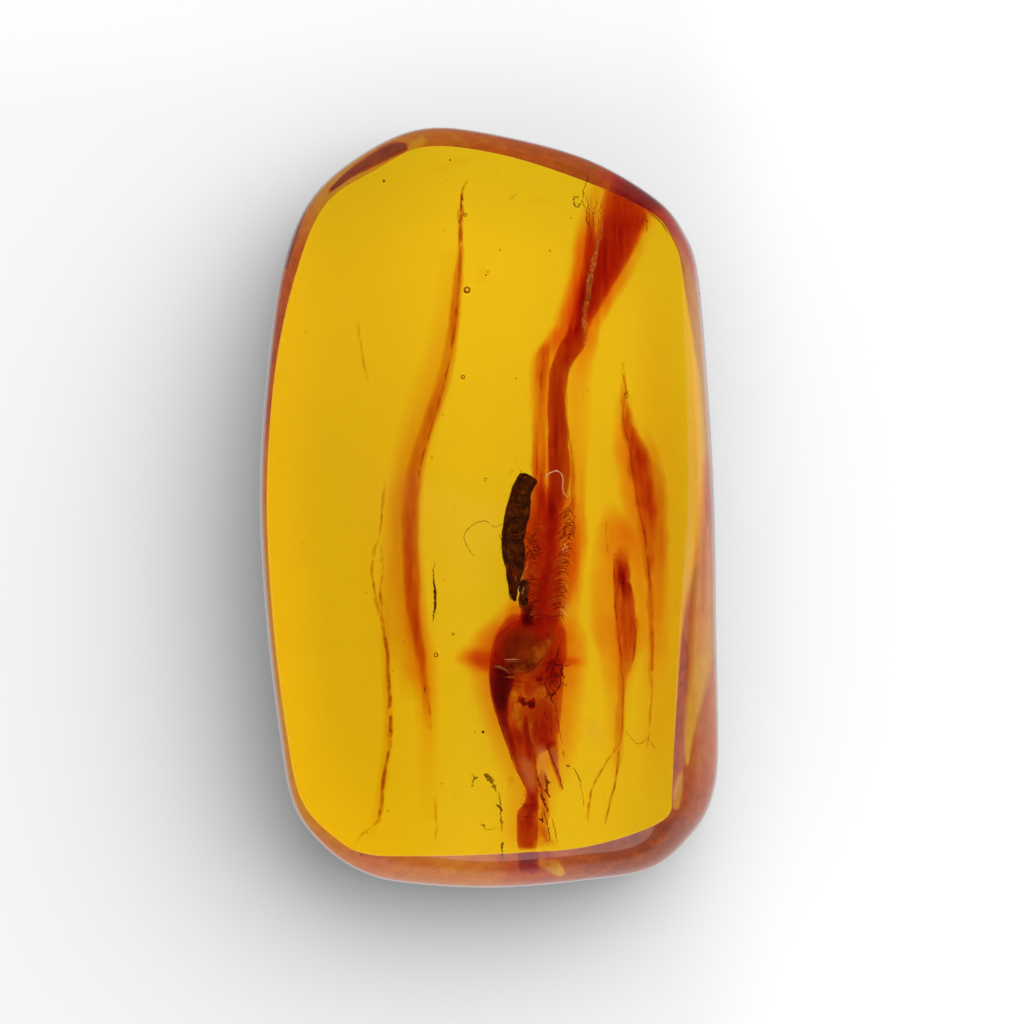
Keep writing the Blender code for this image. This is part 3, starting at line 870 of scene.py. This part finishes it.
    chunk = Shape()
    for k, line in enumerate((
        ((484, 774.5, 2.0, 0.9), (487.5, 776.4, 2.0, 1.9), (491.5, 781.0, 2.0, 2.0), (494.6, 787.0, 2.0, 1.7), (496.6, 791.4, 2.0, 0.8)),
        ((498.6, 791.5, 2.0, 0.3), (500.0, 800.0, 2.0, 0.5), (500.5, 808.0, 2.0, 0.9), (501.3, 819.0, 2.0, 1.1), (501.9, 831.6, 2.0, 0.3)),
        ((496.4, 804, 2.0, 0.4), (499.0, 807, 2.0, 0.7), (501.0, 810, 2.0, 0.6)),
        ((502, 843, 2.0, 0.8), (501.6, 847, 2.0, 0.9), (502.4, 852, 2.0, 0.4)),
        ((472, 787, 2.0, 0.4), (473, 781, 2.0, 0.5), (476, 777, 2.0, 0.5), (479, 778, 2.0, 0.3)),
        ((481, 823.6, 2.0, 0.3), (484, 827, 2.0, 0.4), (488, 829.5, 2.0, 0.3), (497.9, 828, 2.0, 0.2)),
    )):
        chunk.strand(line, 30, 9, jitter=0.5, seed=31 + k, rough=0.6)
    chunk.crumbs(rng, 14, (475, 777), (3, 3), 2.0, (0.3, 0.8))
    chunk.crumbs(rng, 10, (484, 826), (3, 2), 2.0, (0.3, 0.7))
    chunk.build("dirt_crumbs", faint)
    smudge = Shape()
    smudge.crumbs(rng, 40, (510.5, 781.5), (3.4, 5.4), 2.0, (0.7, 1.4))
    smudge.build("dirt_smudge", absorber("dirt_smudge", (0.75, 0.5, 0.3), 6000.0))
    patch = Shape()
    patch.blob(seen((483.5, 275, 3.0))[0], np.array((9, 8, 3)), 0.0, 0.5, 1.8, 5.0, level=30)
    patch.blob(seen((541, 201, 3.0))[0], np.array((13, 4, 2)), 0.0, 0.4, 1.5, 6.0, level=24)
    patch.blob(seen((455, 163, 3.0))[0], np.array((22, 5, 2)), 0.3, 0.4, 1.5, 7.0, level=24)
    patch.build("resin_cloud", absorber("resin_cloud", (0.90, 0.6, 0.1), 900.0))


def in_slab(x, y):
    """Whether a pixel lies well inside the slab's outline."""
    return ((x - 478) / 190) ** 4 + ((y - 505) / 350) ** 4 < 1


def make_bubbles():
    tree = Tree("bubble")
    tree.surface(tree.node("BsdfGlass", Color=(1, 1, 1, 1), Roughness=0.0, IOR=1 / AMBER_IOR).outputs[0])
    shape = Shape()
    rng = np.random.default_rng(8)
    fixed = (
        (467, 290, 1.8, 3.6), (463, 377, 2.0, 2.2), (465.3, 215, 2.3, 1.9), (436, 655, 1.2, 2.4), (453, 634, 2.2, 1.4),
        (488, 272, 2.0, 1.0), (500, 250, 2.0, 0.9), (462.4, 199, 2.3, 1.2), (461.6, 206, 2.3, 1.0), (459, 222, 2.3, 0.9),
        (462, 232, 2.3, 0.8), (626, 393, 2.5, 1.5), (697, 378, 3.4, 1.4),
    )
    loose = zip(rng.uniform(300, 665, 30), rng.uniform(170, 840, 30), rng.uniform(1.5, 5.5, 30), rng.uniform(0.35, 0.8, 30))
    for x, y, depth, radius in (*fixed, *(row for row in loose if in_slab(*row[:2]))):
        shape.blob(seen((x, y, depth))[0], np.full(3, radius), level=12)
    shape.build("bubbles", tree.material)


def make_insect():
    red = absorber("insect_red", *RED_RESIN)
    # orange for the painted shadow round the insect
    orange_shadow = absorber("insect_painted_shadow", *ORANGE_SHADOW_TINT)
    dark = tissue("insect_dark", ((0.25, (0.022, 0.003, 0.001)), (0.55, (0.075, 0.014, 0.002)), (0.9, (0.26, 0.065, 0.006))),
                  2600.0, 0.5, bump=0.5)
    shell = tissue("insect_shell", ((0.1, (0.05, 0.006, 0.001)), (0.5, (0.20, 0.040, 0.004)), (0.95, (0.80, 0.30, 0.05))),
                   1100.0, 0.4, glow=0.3, clear=0.42, bump=0.4, tone=0.5, tint=(0.95, 0.75, 0.4))
    barb = tissue("insect_barb", ((0.2, (0.55, 0.05, 0.003)), (0.8, (0.95, 0.20, 0.02))), 900.0, 0.4, glow=0.6, clear=0.55,
                  tint=(0.95, 0.6, 0.2))
    light = tissue("insect_barb_light", ((0.2, (0.85, 0.22, 0.03)), (0.8, (1.0, 0.42, 0.10))), 900.0, 0.4, glow=0.5, clear=0.5)
    thread = tissue("insect_thread", ((0.2, (0.16, 0.008, 0.001)), (0.8, (0.50, 0.05, 0.003))), 900.0, 0.4, glow=0.4, clear=0.45,
                    tint=(0.9, 0.4, 0.1))
    membrane = tissue("insect_membrane", ((0.2, (0.80, 0.30, 0.12)), (0.8, (1.0, 0.56, 0.28))), 1500.0, 0.4, glow=0.3, clear=0.72)
    # pale hair, also the colour of the painted glints
    pale = tissue("insect_hair_and_glints", ((0.2, (0.9, 0.50, 0.30)), (0.8, (1.0, 0.72, 0.50))), 700.0, 0.3)

    # the dark wing case, ragged at its lower end
    case = Shape()
    case.cloud(0.5, 3.0, (
        (0.35, 0.22, (
            (473.6, 520.0, 526.0, 0.05), (477.0, 517.6, 532.0, 0.50), (481.0, 515.4, 536.6, 0.75), (486.0, 512.8, 535.0, 0.90),
            (495.0, 510.0, 531.0, 1.00), (504.3, 507.2, 530.4, 1.05), (515.0, 504.6, 529.4, 1.10), (521.0, 503.6, 527.6, 1.10),
            (534.0, 502.2, 525.0, 1.05), (543.0, 501.8, 523.6, 1.05), (551.0, 502.0, 525.2, 1.00), (560.0, 503.0, 524.8, 0.90),
            (568.0, 506.2, 524.0, 0.80), (578.0, 508.2, 521.0, 0.70), (588.0, 509.4, 518.6, 0.50), (595.0, 510.6, 517.0, 0.35),
            (601.0, 513.0, 515.6, 0.03),
        )),
    ), (5.0, 3.0), 20.0, 0.8)
    case.build("insect_wing_case", dark)
    case = Shape()
    rng = np.random.default_rng(5)
    for k in range(70):
        y = rng.uniform(535, 590)
        edge = rng.random() < 0.45
        x = np.interp(y, (535, 570, 590), (502.8, 507.8, 511.0)) + (0.0 if edge else rng.uniform(0, 1) * np.interp(y, (545, 590), (20, 6)))
        length = rng.uniform(6, 15)
        case.strand([(x, y - 5, 2.6, 0.9), (x + rng.uniform(-0.8, 0.8), y, 2.52, 0.85), (x + rng.uniform(-1.5, 0.5), y + length, 2.6, 0.15)],
                    9, 7, jitter=0.12, seed=k)
    case.build("insect_wing_case_fringe", dark)
    veins = Shape()
    for k in range(9):
        y = 488 + k * 7.6
        left, right = np.interp(y, (480, 520, 560, 590), (516, 505, 504, 511)), np.interp(y, (480, 520, 560, 590), (533, 524, 522, 516))
        bow = rng.uniform(-6, 6)
        veins.strand([(left + 1, y, 2.66, 0.15), ((left + right) / 2, y + bow, 2.46, rng.uniform(0.2, 0.35)), (right - 1, y + bow * 0.3, 2.66, 0.15)],
                     14, 6, jitter=0.35, seed=k)
    veins.crumbs(rng, 30, (514, 540), (7, 55), 2.44, (0.3, 0.8))
    for k in range(16):
        x, y = rng.uniform(506, 517), rng.uniform(566, 588)
        veins.strand([(x, y - 4, 2.45, 0.15), (x + rng.uniform(-1, 1), y, 2.4, 0.3), (x + rng.uniform(-1, 1), y + 5, 2.45, 0.15)], 8, 6, seed=k)
    veins.build("insect_wing_case_veins", barb)

    tuft = Shape()
    for k in range(34):
        x, y = rng.uniform(519.5, 527.5), rng.uniform(580, 600)
        tuft.strand([(x, y, 2.9, 0.7), (x + rng.uniform(-1.2, 1.2), y + 6, 2.85, 0.75), (x + rng.uniform(-2.5, 1.0), y + rng.uniform(9, 14), 2.9, 0.15)],
                    9, 7, jitter=0.2, seed=60 + k)
    tuft.blob(seen((523.4, 592, 3.3))[0], np.array((3.2, 11.0, 3.0)), 0.05, 0.5, 2.5, 1.0, level=24)
    tuft.build("insect_tuft", dark)
    # the feathery wing: a stem with barbs arching off it to both sides, over a red sheet
    stem = ((552.0, 498.0), (552.9, 515.0), (552.0, 536.4), (550.7, 558.0), (547.6, 571.0), (545.7, 583.0), (544.3, 600.0))
    stem_x, stem_y = np.array(stem).T
    tones = {"mid": Shape(), "dark": Shape(), "light": Shape()}

    def barbs(side, top, bottom, count, seed):
        for k in range(count):
            y = top + (bottom - top) * k / count + rng.normal(0, 1.2)
            x = np.interp(y, stem_y, stem_x)
            clump = noise.noise((y / 7.0, side, seed))
            if side > 0:
                reach = np.interp(y, (508, 540, 575, 618), (20, 23, 23, 21)) * rng.uniform(0.80, 1.05)
                rise = np.interp(y, (515, 545, 575, 618), (20, 15, 7, 3)) + 4 * clump
                start = rng.uniform(0.15, 0.5)
                path = ((start, -0.45 * rise), (0.6, -0.85 * rise), (0.86, -rise), (1.0, -rise + rng.uniform(2, 7)))
                droop = 0
            else:
                reach = np.interp(y, (530, 550, 580, 618), (20, 28, 25, 14)) * rng.uniform(0.75, 1.04)
                rise = np.interp(y, (530, 565, 618), (16, 12, 5)) + 4 * clump
                start = rng.uniform(0.2, 0.5)
                path = ((start, -0.7 * rise), (0.62, -rise), (0.82, -0.85 * rise), (1.0, -0.2 * rise))
            kind = rng.choice(("mid", "dark", "light"), p=(0.5, 0.17, 0.33))
            thick = rng.uniform(0.22, 0.45)
            depth = 3.0 + rng.normal(0, 0.12)
            line = [(x + side * reach * along, y + dy, depth, thick * size) for (along, dy), size in zip(path, (0.3, 1.0, 1.0, 0.3))]
            tones[kind].strand(line, 14, 6, jitter=0.22, seed=int(seed * 100) + k)

    barbs(1, 528, 622, 130, 1.5)
    barbs(-1, 540, 622, 90, 2.5)
    for k in range(26):
        y = rng.uniform(498, 540)
        x = rng.uniform(560, 574)
        tones[("mid", "light")[k % 2]].strand(
            [(x - 5, y + 6, 3.0, 0.15), (x, y, 3.0, 0.35), (x + 2.5, y - 4, 3.0, 0.2)], 9, 6, jitter=0.3, seed=900 + k)
    for k, path in enumerate((
        ((519.7, 543), (522.5, 537), (527.5, 532.5), (532, 536), (535.7, 543), (540, 551.5)),
        ((514.5, 550), (519, 544), (523.5, 538.6), (528.4, 538.0), (532.5, 543), (536, 552)),
        ((521, 553), (526, 547.5), (531, 551), (535, 560)),
    )):
        tones["dark"].strand([(x, y, 2.4, 0.45) for x, y in path], 22, 7, jitter=0.2, seed=330 + k)
    for name, material in (("mid", barb), ("dark", thread), ("light", light)):
        tones[name].build("insect_plume_" + name, material)

    # the stained resin that holds the plume, the ball of head and thorax, the folded wings and the tail
    body = Shape()
    body.cloud(0.85, 4.6, (
        # plume
        (0.35, 0.30, (
            (482, 532, 547, 0.03), (490, 529, 548, 0.35), (500, 527, 550, 0.55), (508, 525, 557, 0.65), (520, 523, 560, 0.8), (540, 521, 560, 0.9),
            (560, 521, 560, 0.9), (580, 521, 561, 1.15), (600, 520, 561, 1.2), (612, 520, 560, 1.15), (621, 518, 559, 0.55), (630, 514, 558, 0.03),
        )),
        (0.5, 0.5, (
            (498, 556, 574, 0.02), (515, 556, 575, 0.08), (540, 557, 576, 0.08), (560, 556, 575, 0.12), (580, 555, 574, 0.2), (600, 554, 571, 0.2),
            (612, 553, 566, 0.15), (622, 552, 562, 0.02),
        )),
        (0.8, 0.3, (
            (498, 548, 556, 0.02), (515, 548, 557, 0.2), (536, 547, 556.5, 0.35), (558, 545, 555, 0.4), (571, 542, 552.5, 0.4), (583, 539, 549.5, 0.4),
            (600, 533, 548, 0.3), (612, 526, 545, 0.35), (622, 522, 542, 0.3), (632, 520, 540, 0.02),
        )),
        # head and thorax
        (0.42, 0.10, (
            (613, 512, 554, 0.05), (618, 506, 560, 0.8), (628, 498.5, 565, 1.2), (640, 493.5, 567, 1.25), (652, 490.5, 567.5, 1.3), (662, 489.5, 566, 1.25),
            (670, 489.5, 564, 0.55), (680, 500, 556, 0.15), (690, 510, 545, 0.02),
        )),
        (0.8, 0.2, ((622, 512, 530, -0.02), (632, 508, 534, -0.26), (644, 508, 536, -0.32), (656, 514, 534, -0.26), (664, 516, 532, -0.02))),
        (0.8, 0.2, ((634, 546, 556, -0.02), (645, 540, 554, -0.40), (656, 535, 550, -0.45), (668, 512, 546, -0.40), (678, 510, 540, -0.30), (686, 518, 536, -0.02))),
        (0.8, 0.3, ((644, 556, 561, 0.03), (652, 554, 562, 0.3), (664, 548, 563, 0.65), (676, 545, 562, 0.75), (688, 545, 559, 0.45), (702, 548, 557, 0.05))),
        (0.9, 0.2, ((649, 462, 504, 0.02), (654, 461, 504, 0.22), (660, 464, 504, 0.30), (667, 476, 504, 0.20), (673, 484, 504, 0.02))),
        (0.9, 0.2, ((656, 556, 570, 0.02), (661, 556, 582, 0.20), (667, 556, 572, 0.02))),
        # folded wings
        (0.28, 0.35, (
            (658, 490, 562, 0.1), (672, 489, 563.5, 0.95), (684, 489.3, 563.5, 1.0), (696, 491, 562, 0.85), (711, 495, 561.5, 0.95),
            (731, 502, 559, 1.0), (743, 506.5, 557, 1.0), (749, 509, 549, 1.0), (754, 511, 540, 1.0), (765, 514.5, 537, 0.85), (776, 519.5, 537, 0.8),
            (788, 525, 539, 1.05), (797, 525.5, 538, 1.15), (805, 522.5, 538.5, 1.25), (809, 519.0, 538.5, 1.25), (813, 517.2, 538, 1.15), (824, 516.8, 538, 1.2),
            (836, 516.8, 538, 1.1), (845, 517.4, 537.5, 0.95), (850, 518.5, 536.5, 0.03),
        )),
        (0.55, 0.35, (
            (664, 490, 512, 0.1), (672, 489, 514, 0.7), (684, 489.5, 514, 0.9), (696, 491.5, 510, 0.95), (708, 494.5, 508.5, 0.85), (720, 498, 509, 0.6),
            (732, 502, 512, 0.40), (748, 508, 516, 0.35), (765, 514, 520, 0.25), (782, 522, 527, 0.05),
        )),
        (0.7, 0.3, ((688, 511, 524, -0.02), (697, 510.5, 526, -0.35), (710, 510.5, 524.5, -0.30), (722, 513, 523, -0.25), (732, 516, 522, -0.02))),
        (0.5, 0.3, ((697, 538, 550, 0.03), (706, 533, 552, 0.35), (720, 531, 556, 0.45), (735, 533.5, 552, 0.45), (744, 538, 553, 0.35), (751, 545, 553, 0.03))),
        (0.7, 0.3, (
            (712, 522, 528, 0.03), (722, 522.5, 528, 0.65), (734, 523, 529.5, 0.65), (748, 525, 533, 0.45), (760, 529, 536, 0.25), (768, 531, 536, 0.02),
        )),
        (0.6, 0.3, ((724, 508, 522, 0.03), (736, 508, 524, 0.35), (748, 511, 524, 0.25), (760, 514, 522, 0.02))),
        (0.5, 0.3, (
            (740, 546, 560, 0.05), (750, 547.5, 558.5, 0.65), (760, 549.5, 559, 0.75), (768, 552.5, 559, 0.7), (776, 556, 560.5, 0.6), (784, 558.5, 562.5, 0.5),
            (791, 561, 563.5, 0.03),
        )),
        (0.6, 1.2, (
            (768, 538, 545, 0.03), (780, 538, 548, 0.55), (790, 539, 549, 0.55), (800, 540, 549, 0.35), (812, 538, 550, 0.40), (830, 536, 548, 0.35),
            (841, 536, 556, 0.25), (847, 536, 560, 0.03),
        )),
        (0.8, 0.6, ((786, 526, 545, 0.03), (797, 528, 541, 0.35), (806, 529, 540, 0.55), (814, 526, 538, 0.2), (824, 524, 534, 0.02))),
    ), (3.2, 1.6), 27.0, 0.8)
    body.build("insect_body", red)

    # the orange round the insect is painted shadow, the soft shadow it would cast on the floor beneath
    shadow_halo = Shape()
    shadow_halo.cloud(1.7, 7.2, (
        (1.0, 0.25, (
            (582, 512, 568, 0.03), (600, 503, 573, 0.5), (612, 495, 576, 0.8), (624, 483, 582, 1.35), (636, 471, 587, 1.8), (648, 466, 589, 1.9),
            (660, 464, 589, 1.85), (672, 466, 588, 1.55), (684, 469, 587, 1.35), (696, 472, 586, 1.2), (708, 475, 585, 1.05), (732, 482, 583, 0.9),
            (756, 492, 578, 0.65), (780, 502, 568, 0.45), (804, 503, 556, 0.4), (832, 502, 554, 0.35), (848, 506, 548, 0.03),
        )),
        (0.5, 0.0, ((616, 508, 552, -0.1), (632, 500, 560, -0.9), (652, 494, 562, -1.1), (680, 496, 560, -1.1), (720, 506, 556, -0.8), (760, 520, 540, -0.1), (790, 524, 538, -0.02))),
        (0.8, 0.2, ((644, 460, 500, 0.02), (651, 457, 500, 0.50), (659, 453, 500, 0.80), (667, 464, 500, 0.50), (674, 476, 500, 0.03))),
        (0.8, 0.2, ((654, 560, 580, 0.02), (661, 560, 588, 0.45), (668, 560, 578, 0.02))),
        (1.0, 0.2, ((598, 506, 524, 0.03), (608, 505, 524, 0.5), (618, 502, 522, 0.5), (626, 500, 516, 0.03))),
        (0.5, 0.2, (
            (484, 528, 548, 0.05), (500, 526, 576, 0.7), (515, 524, 579, 1.2), (540, 523, 580, 1.4), (560, 523, 580, 1.35),
            (580, 523, 577, 1.0), (600, 522, 574, 0.7), (616, 520, 566, 0.3), (630, 516, 560, 0.02),
        )),
    ), (1.4, 0.8), 23.0, 1.5)
    shadow_halo.build("insect_painted_shadow", orange_shadow)

    head = Shape()
    head.blob(seen((523.5, 652.0, 3.6))[0], np.array((28.0, 31.0, 13.0)), 0.1, 0.10, 2.0, 4.0, level=100, shade=(0.55, -0.95, -0.1), soft=True)
    head.build("insect_head", shell)
    ridge_and_glints = Shape()
    # a ridge round the head's lower right; the two thin bright strokes after it are painted glints
    for line, tone in (
        (((552, 628, 3.2, 2.0), (549, 640, 3.1, 5.0), (541, 653, 3.0, 6.6), (531, 663.0, 3.0, 6.4), (519, 669.0, 3.1, 5.0), (507, 669, 3.2, 2.0)), 0.42),
        (((504, 661.6, 2.6, 0.3), (512, 661.0, 2.6, 0.7), (520, 661.4, 2.6, 0.3)), 1.1),
        (((504, 677.6, 2.6, 0.3), (511, 677.0, 2.6, 1.0), (518, 677.6, 2.6, 0.3)), 1.2),
    ):
        ridge_and_glints.strand(line, 60, 32, 0.4, tones=tone, rough=0.3, grain=2.0, soft=True)
    ridge_and_glints.build("insect_head_ridge_and_glints", shell)
    brown = absorber("insect_brown", (0.80, 0.68, 0.40), 5000.0)
    shade = Shape()
    shade.cloud(0.8, 3.9, (
        (0.7, 0.35, (
            (626, 498, 520, 0.02), (636, 493, 520, 0.14), (646, 491, 520, 0.24), (655, 490, 520, 0.24), (664, 490, 520, 0.22), (672, 494, 520, 0.12),
            (680, 500, 518, 0.02),
        )),
        (0.5, 0.3, (
            (664, 490, 512, 0.03), (671, 489.5, 514, 0.8), (684, 489.8, 514, 1.1), (696, 491.8, 510, 1.3), (708, 494.8, 508, 0.9), (720, 498, 508, 0.5),
            (736, 504, 512, 0.3), (756, 511, 517, 0.2), (778, 520, 525, 0.02),
        )),
        (0.7, 0.3, ((600, 522, 533, 0.05), (606, 522, 533, 1.0), (614, 521.5, 534, 1.6), (621, 521, 534, 1.2), (628, 522, 532, 0.02))),
        (0.7, 0.4, ((697, 519, 526, 0.03), (701, 519, 526, 1.2), (706, 522, 526, 0.3), (709, 523, 526, 0.02))),
        (0.7, 0.4, ((700, 528, 536, 0.03), (704, 528, 535.5, 1.4), (708, 529, 534, 0.5), (711, 530, 533, 0.02))),
    ), (2.5, 2.5), 41.0, 0.8)
    shade.build("insect_shade", brown)

    mouth = Shape()
    mouth.strand([(519.6, 687, 2.9, 1.2), (524.5, 695.0, 2.8, 2.0), (530.4, 698.0, 2.8, 2.4), (536.0, 693.0, 2.8, 2.2), (540.0, 686, 2.9, 1.2)], 40, 18,
                 0.7, rough=0.4, soft=True)
    mouth.strand([(513, 690, 2.9, 1.5), (515, 702, 2.8, 4.0), (517, 714, 2.9, 4.4), (519.6, 724, 2.9, 3.0), (521.5, 731, 3.0, 1.2)], 60, 24, 0.5,
                 rough=0.35, soft=True)
    mouth.strand([(543, 684, 2.8, 1.2), (545, 692, 2.7, 2.2), (543, 700, 2.8, 1.4)], 24, 16, 0.6, rough=0.4, soft=True)
    mouth.strand([(529, 712, 2.9, 1.0), (530, 724, 2.8, 1.8), (531.5, 740, 2.8, 1.4), (534, 752, 2.9, 0.8)], 40, 16, 0.6, rough=0.4, soft=True)
    mouth.build("insect_mouthparts", light)
    palps = Shape()
    for k, line in enumerate((
        ((520.6, 694.0, 2.6, 1.0), (521.4, 700.0, 2.6, 2.6), (524.0, 705.4, 2.6, 1.2)), ((534.0, 698.0, 2.6, 1.0), (531.4, 703.6, 2.6, 3.2), (531.0, 709.0, 2.6, 1.2)),
        ((524, 703, 2.6, 0.8), (528, 704.0, 2.6, 1.1), (531, 704, 2.6, 0.8)), ((536, 680, 2.6, 0.8), (539.6, 678.6, 2.6, 2.0), (542, 680, 2.6, 0.8)),
        ((510, 664.5, 2.5, 0.8), (511.5, 666.4, 2.5, 1.5), (512, 669, 2.5, 0.6)), ((527.6, 664.6, 2.5, 0.6), (528.6, 666.8, 2.5, 1.1), (529.6, 668.6, 2.5, 0.5)),
    )):
        palps.strand(line, 24, 18, jitter=0.2, seed=k, rough=0.5, soft=True)
    palps.build("insect_palps", thread)

    strands("insect_legs_and_veins", thread, (
        (2.9, 0.40, 0.15, (489.8, 671.8), (490.5, 686), (492.5, 700), (495.4, 711.4), (502, 730.7), (508.6, 749), (514, 765), (520, 776), (526, 788)),
        (2.9, 0.35, 0.20, (532, 740), (534.3, 753), (535.4, 761.4), (536.4, 772), (538.6, 783)),
        (2.9, 0.75, 0.25, (547, 743), (549.3, 751.8), (553.6, 762.5), (559, 775.4), (562.7, 789.3)),
        (2.9, 0.60, 0.25, (546.6, 744), (548, 748), (549.6, 752)),
        (2.9, 0.35, 0.25, (544, 712), (549, 722), (553, 736), (556, 748)),
        (2.9, 0.95, 0.35, (559, 645), (557.5, 655), (554.6, 664), (552, 671), (550.4, 679)),
        (2.9, 0.80, 0.35, (561, 663), (562, 668), (561.5, 676), (560, 684), (557.4, 690), (551.4, 694), (548, 690)),
        (2.9, 0.85, 0.30, (553, 664), (557, 664.8), (561, 665)), (2.9, 0.40, 0.30, (561, 665), (567, 665.5), (572, 662)),
        (2.9, 0.60, 0.40, (548, 676), (545, 684), (548, 692), (546, 698)), (2.9, 0.6, 0.4, (553, 680), (550, 687), (555, 691), (551, 699), (555, 704)),
        (2.9, 0.60, 0.30, (555, 672), (555.6, 680), (557, 688)), (2.9, 0.55, 0.30, (557.5, 668), (557.5, 677), (558.6, 684)),
        (2.9, 0.50, 0.40, (541, 674), (546, 681), (543, 687)), (2.9, 0.5, 0.4, (537, 680), (541, 684), (546, 683)),
        (2.9, 0.38, 0.25, (554.6, 700.7), (556.8, 716.8), (559.6, 731), (562, 743.6)), (2.9, 0.50, 0.4, (563.8, 750), (562.6, 753.0), (564.3, 757.5)),
        (2.9, 0.30, 0.25, (556.4, 702), (557.2, 708), (558.2, 715)),
        (2.9, 0.38, 0.35, (571.8, 767.5), (575.7, 771.4), (579.6, 779.7), (582, 790), (584.0, 806)), (2.9, 0.8, 0.5, (566.5, 765), (568, 766), (569.4, 766.4)),
        (2.9, 0.45, 0.40, (524.6, 791), (523.8, 798)), (2.9, 0.45, 0.4, (520.0, 803), (524, 804.5), (528, 804.6), (533, 803.6)),
        (2.9, 0.35, 0.40, (520, 801), (522, 800), (524, 801)), (2.9, 0.35, 0.40, (521, 815.5), (526, 817), (533, 816.6)),
    ))
    tangle = Shape()
    for k in range(9):
        x, y = rng.uniform(545, 560), rng.uniform(655, 690)
        turns = rng.uniform(-5.0, 5.0, (4, 2)).cumsum(0)
        kind = rng.uniform(0.3, 0.6)
        tangle.strand([(x + dx * 0.7, y + abs(dy), rng.uniform(2.7, 3.2), kind) for dx, dy in turns], 16, 7, jitter=0.3, seed=700 + k)
    tangle.build("insect_leg_tangle", thread)

    flaps = Shape()
    flaps.cloud(1.0, 0.5, (
        (1.0, 0.3, ((744, 532, 546, 0.02), (752, 534, 549, 0.3), (764, 536, 550, 0.35), (776, 538, 549, 0.2), (788, 541, 546, 0.02))),
        (1.0, 0.3, ((746, 549, 556, 0.02), (756, 550, 560, 0.3), (768, 553, 561, 0.2), (778, 557, 562, 0.02))),
        (1.0, 0.3, ((752, 513, 524, 0.02), (764, 517, 533, 0.22), (776, 521, 536, 0.3), (786, 526, 537, 0.2), (796, 528, 536, 0.02))),
        (1.0, 0.3, ((716, 580, 596, 0.02), (728, 580, 606, 0.12), (740, 582, 608, 0.10), (752, 590, 604, 0.02))),
    ), (3.0, 3.0), 43.0, 1.5, soft=True)
    flaps.build("insect_membranes", membrane)
    flaps = Shape()
    flaps.strand(((489.4, 669.0, 0.6, 0.4), (497.0, 666.4, 0.6, 1.2), (504.0, 669.0, 0.6, 1.2), (511.0, 674.0, 0.6, 0.5)), 40, 16, 0.2, rough=0.25, soft=True)
    flaps.build("insect_lip", membrane)

    shards = tissue("insect_shard", ((0.2, (0.20, 0.015, 0.001)), (0.8, (0.50, 0.08, 0.005))), 1200.0, 0.4, glow=0.4, clear=0.4, tint=(0.95, 0.6, 0.2))
    strands("insect_shards", shards, (
        (2.5, 1.2, 0.5, (544, 772), (546.4, 780.7), (547, 787), (546.4, 792), (549.8, 797.4)), (2.5, 1.2, 0.5, (539.6, 791), (543, 798), (544.6, 803), (546.4, 807)),
        (2.5, 0.8, 0.4, (545, 781), (548, 782), (551, 781.4)), (2.5, 0.8, 0.4, (537.5, 774), (539, 782), (542, 790)),
        (2.5, 0.7, 0.4, (546.6, 806), (548, 811), (550, 815.6)), (2.5, 0.55, 0.4, (542.9, 808), (546, 820), (548.5, 830), (549.8, 841)),
        (2.5, 0.7, 0.6, (541.8, 812), (543, 820), (541.8, 823)), (2.5, 0.7, 0.6, (537.6, 818), (542, 820), (545.6, 822)),
        (2.5, 0.4, 0.5, (552, 818), (554, 826), (555.6, 834), (557.4, 842)), (2.5, 0.35, 0.5, (539, 776), (540, 788)), (2.5, 0.35, 0.5, (542, 774), (542.6, 786)),
    ))
    # the first strand is a pale hair; the short pale strokes after it are painted glints, highlights on the wet insect
    strands("pale_hair", pale, (
        (0.25, 0.42, 0.05, (544.3, 479.3), (547.0, 475.6), (550.7, 472.6), (557, 470.8), (561.4, 474.3), (562.9, 480.7), (562.5, 487), (564.3, 493.6), (568.6, 498)),
        (0.30, 0.30, 0.1, (564.6, 553), (562.6, 550), (565.6, 546.4), (563.4, 544)), (0.30, 0.28, 0.1, (568, 545), (566.6, 550), (564.2, 553)),
        (0.30, 0.30, 0.1, (563.6, 613), (566, 608), (567.0, 603)), (0.30, 0.28, 0.1, (566.6, 617), (563.4, 612), (561, 609)),
        (0.30, 0.28, 0.1, (522.4, 594), (523.0, 590), (524.0, 587)), (0.30, 0.26, 0.1, (515.2, 580), (515.8, 576)),
        (0.30, 0.22, 0.1, (526, 571), (527.4, 566), (528, 561)), (0.30, 0.24, 0.1, (518.6, 596), (517.8, 591), (519.4, 586)),
        (0.40, 0.26, 0.1, (504.5, 659.8), (512, 659.2), (518.5, 659.6)),
    ))
    strands("brown_hair", tissue("brown_hair", ((0.2, (0.12, 0.05, 0.006)), (0.8, (0.34, 0.16, 0.01))), 800.0, 0.4, clear=0.5), (
        (2.2, 0.38, 0.12, (503, 522.5), (500, 525), (496, 527.5), (493, 526), (489, 522.6), (484, 521), (476, 523), (470, 527), (464, 535), (466, 544), (470, 551), (475, 556.6)),
        (2.2, 0.45, 0.2, (499, 534), (500.6, 538), (501.6, 541)),
    ))


scene = bpy.context.scene
scene.view_settings.view_transform = "Standard"
scene.cycles.transparent_max_bounces = 64
scene.cycles.diffuse_bounces = 2
make_camera()
make_world()
make_studio()
stone = make_stone()
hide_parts("amber")
make_resin_flows()
make_cracks()
make_bubbles()
make_insect()
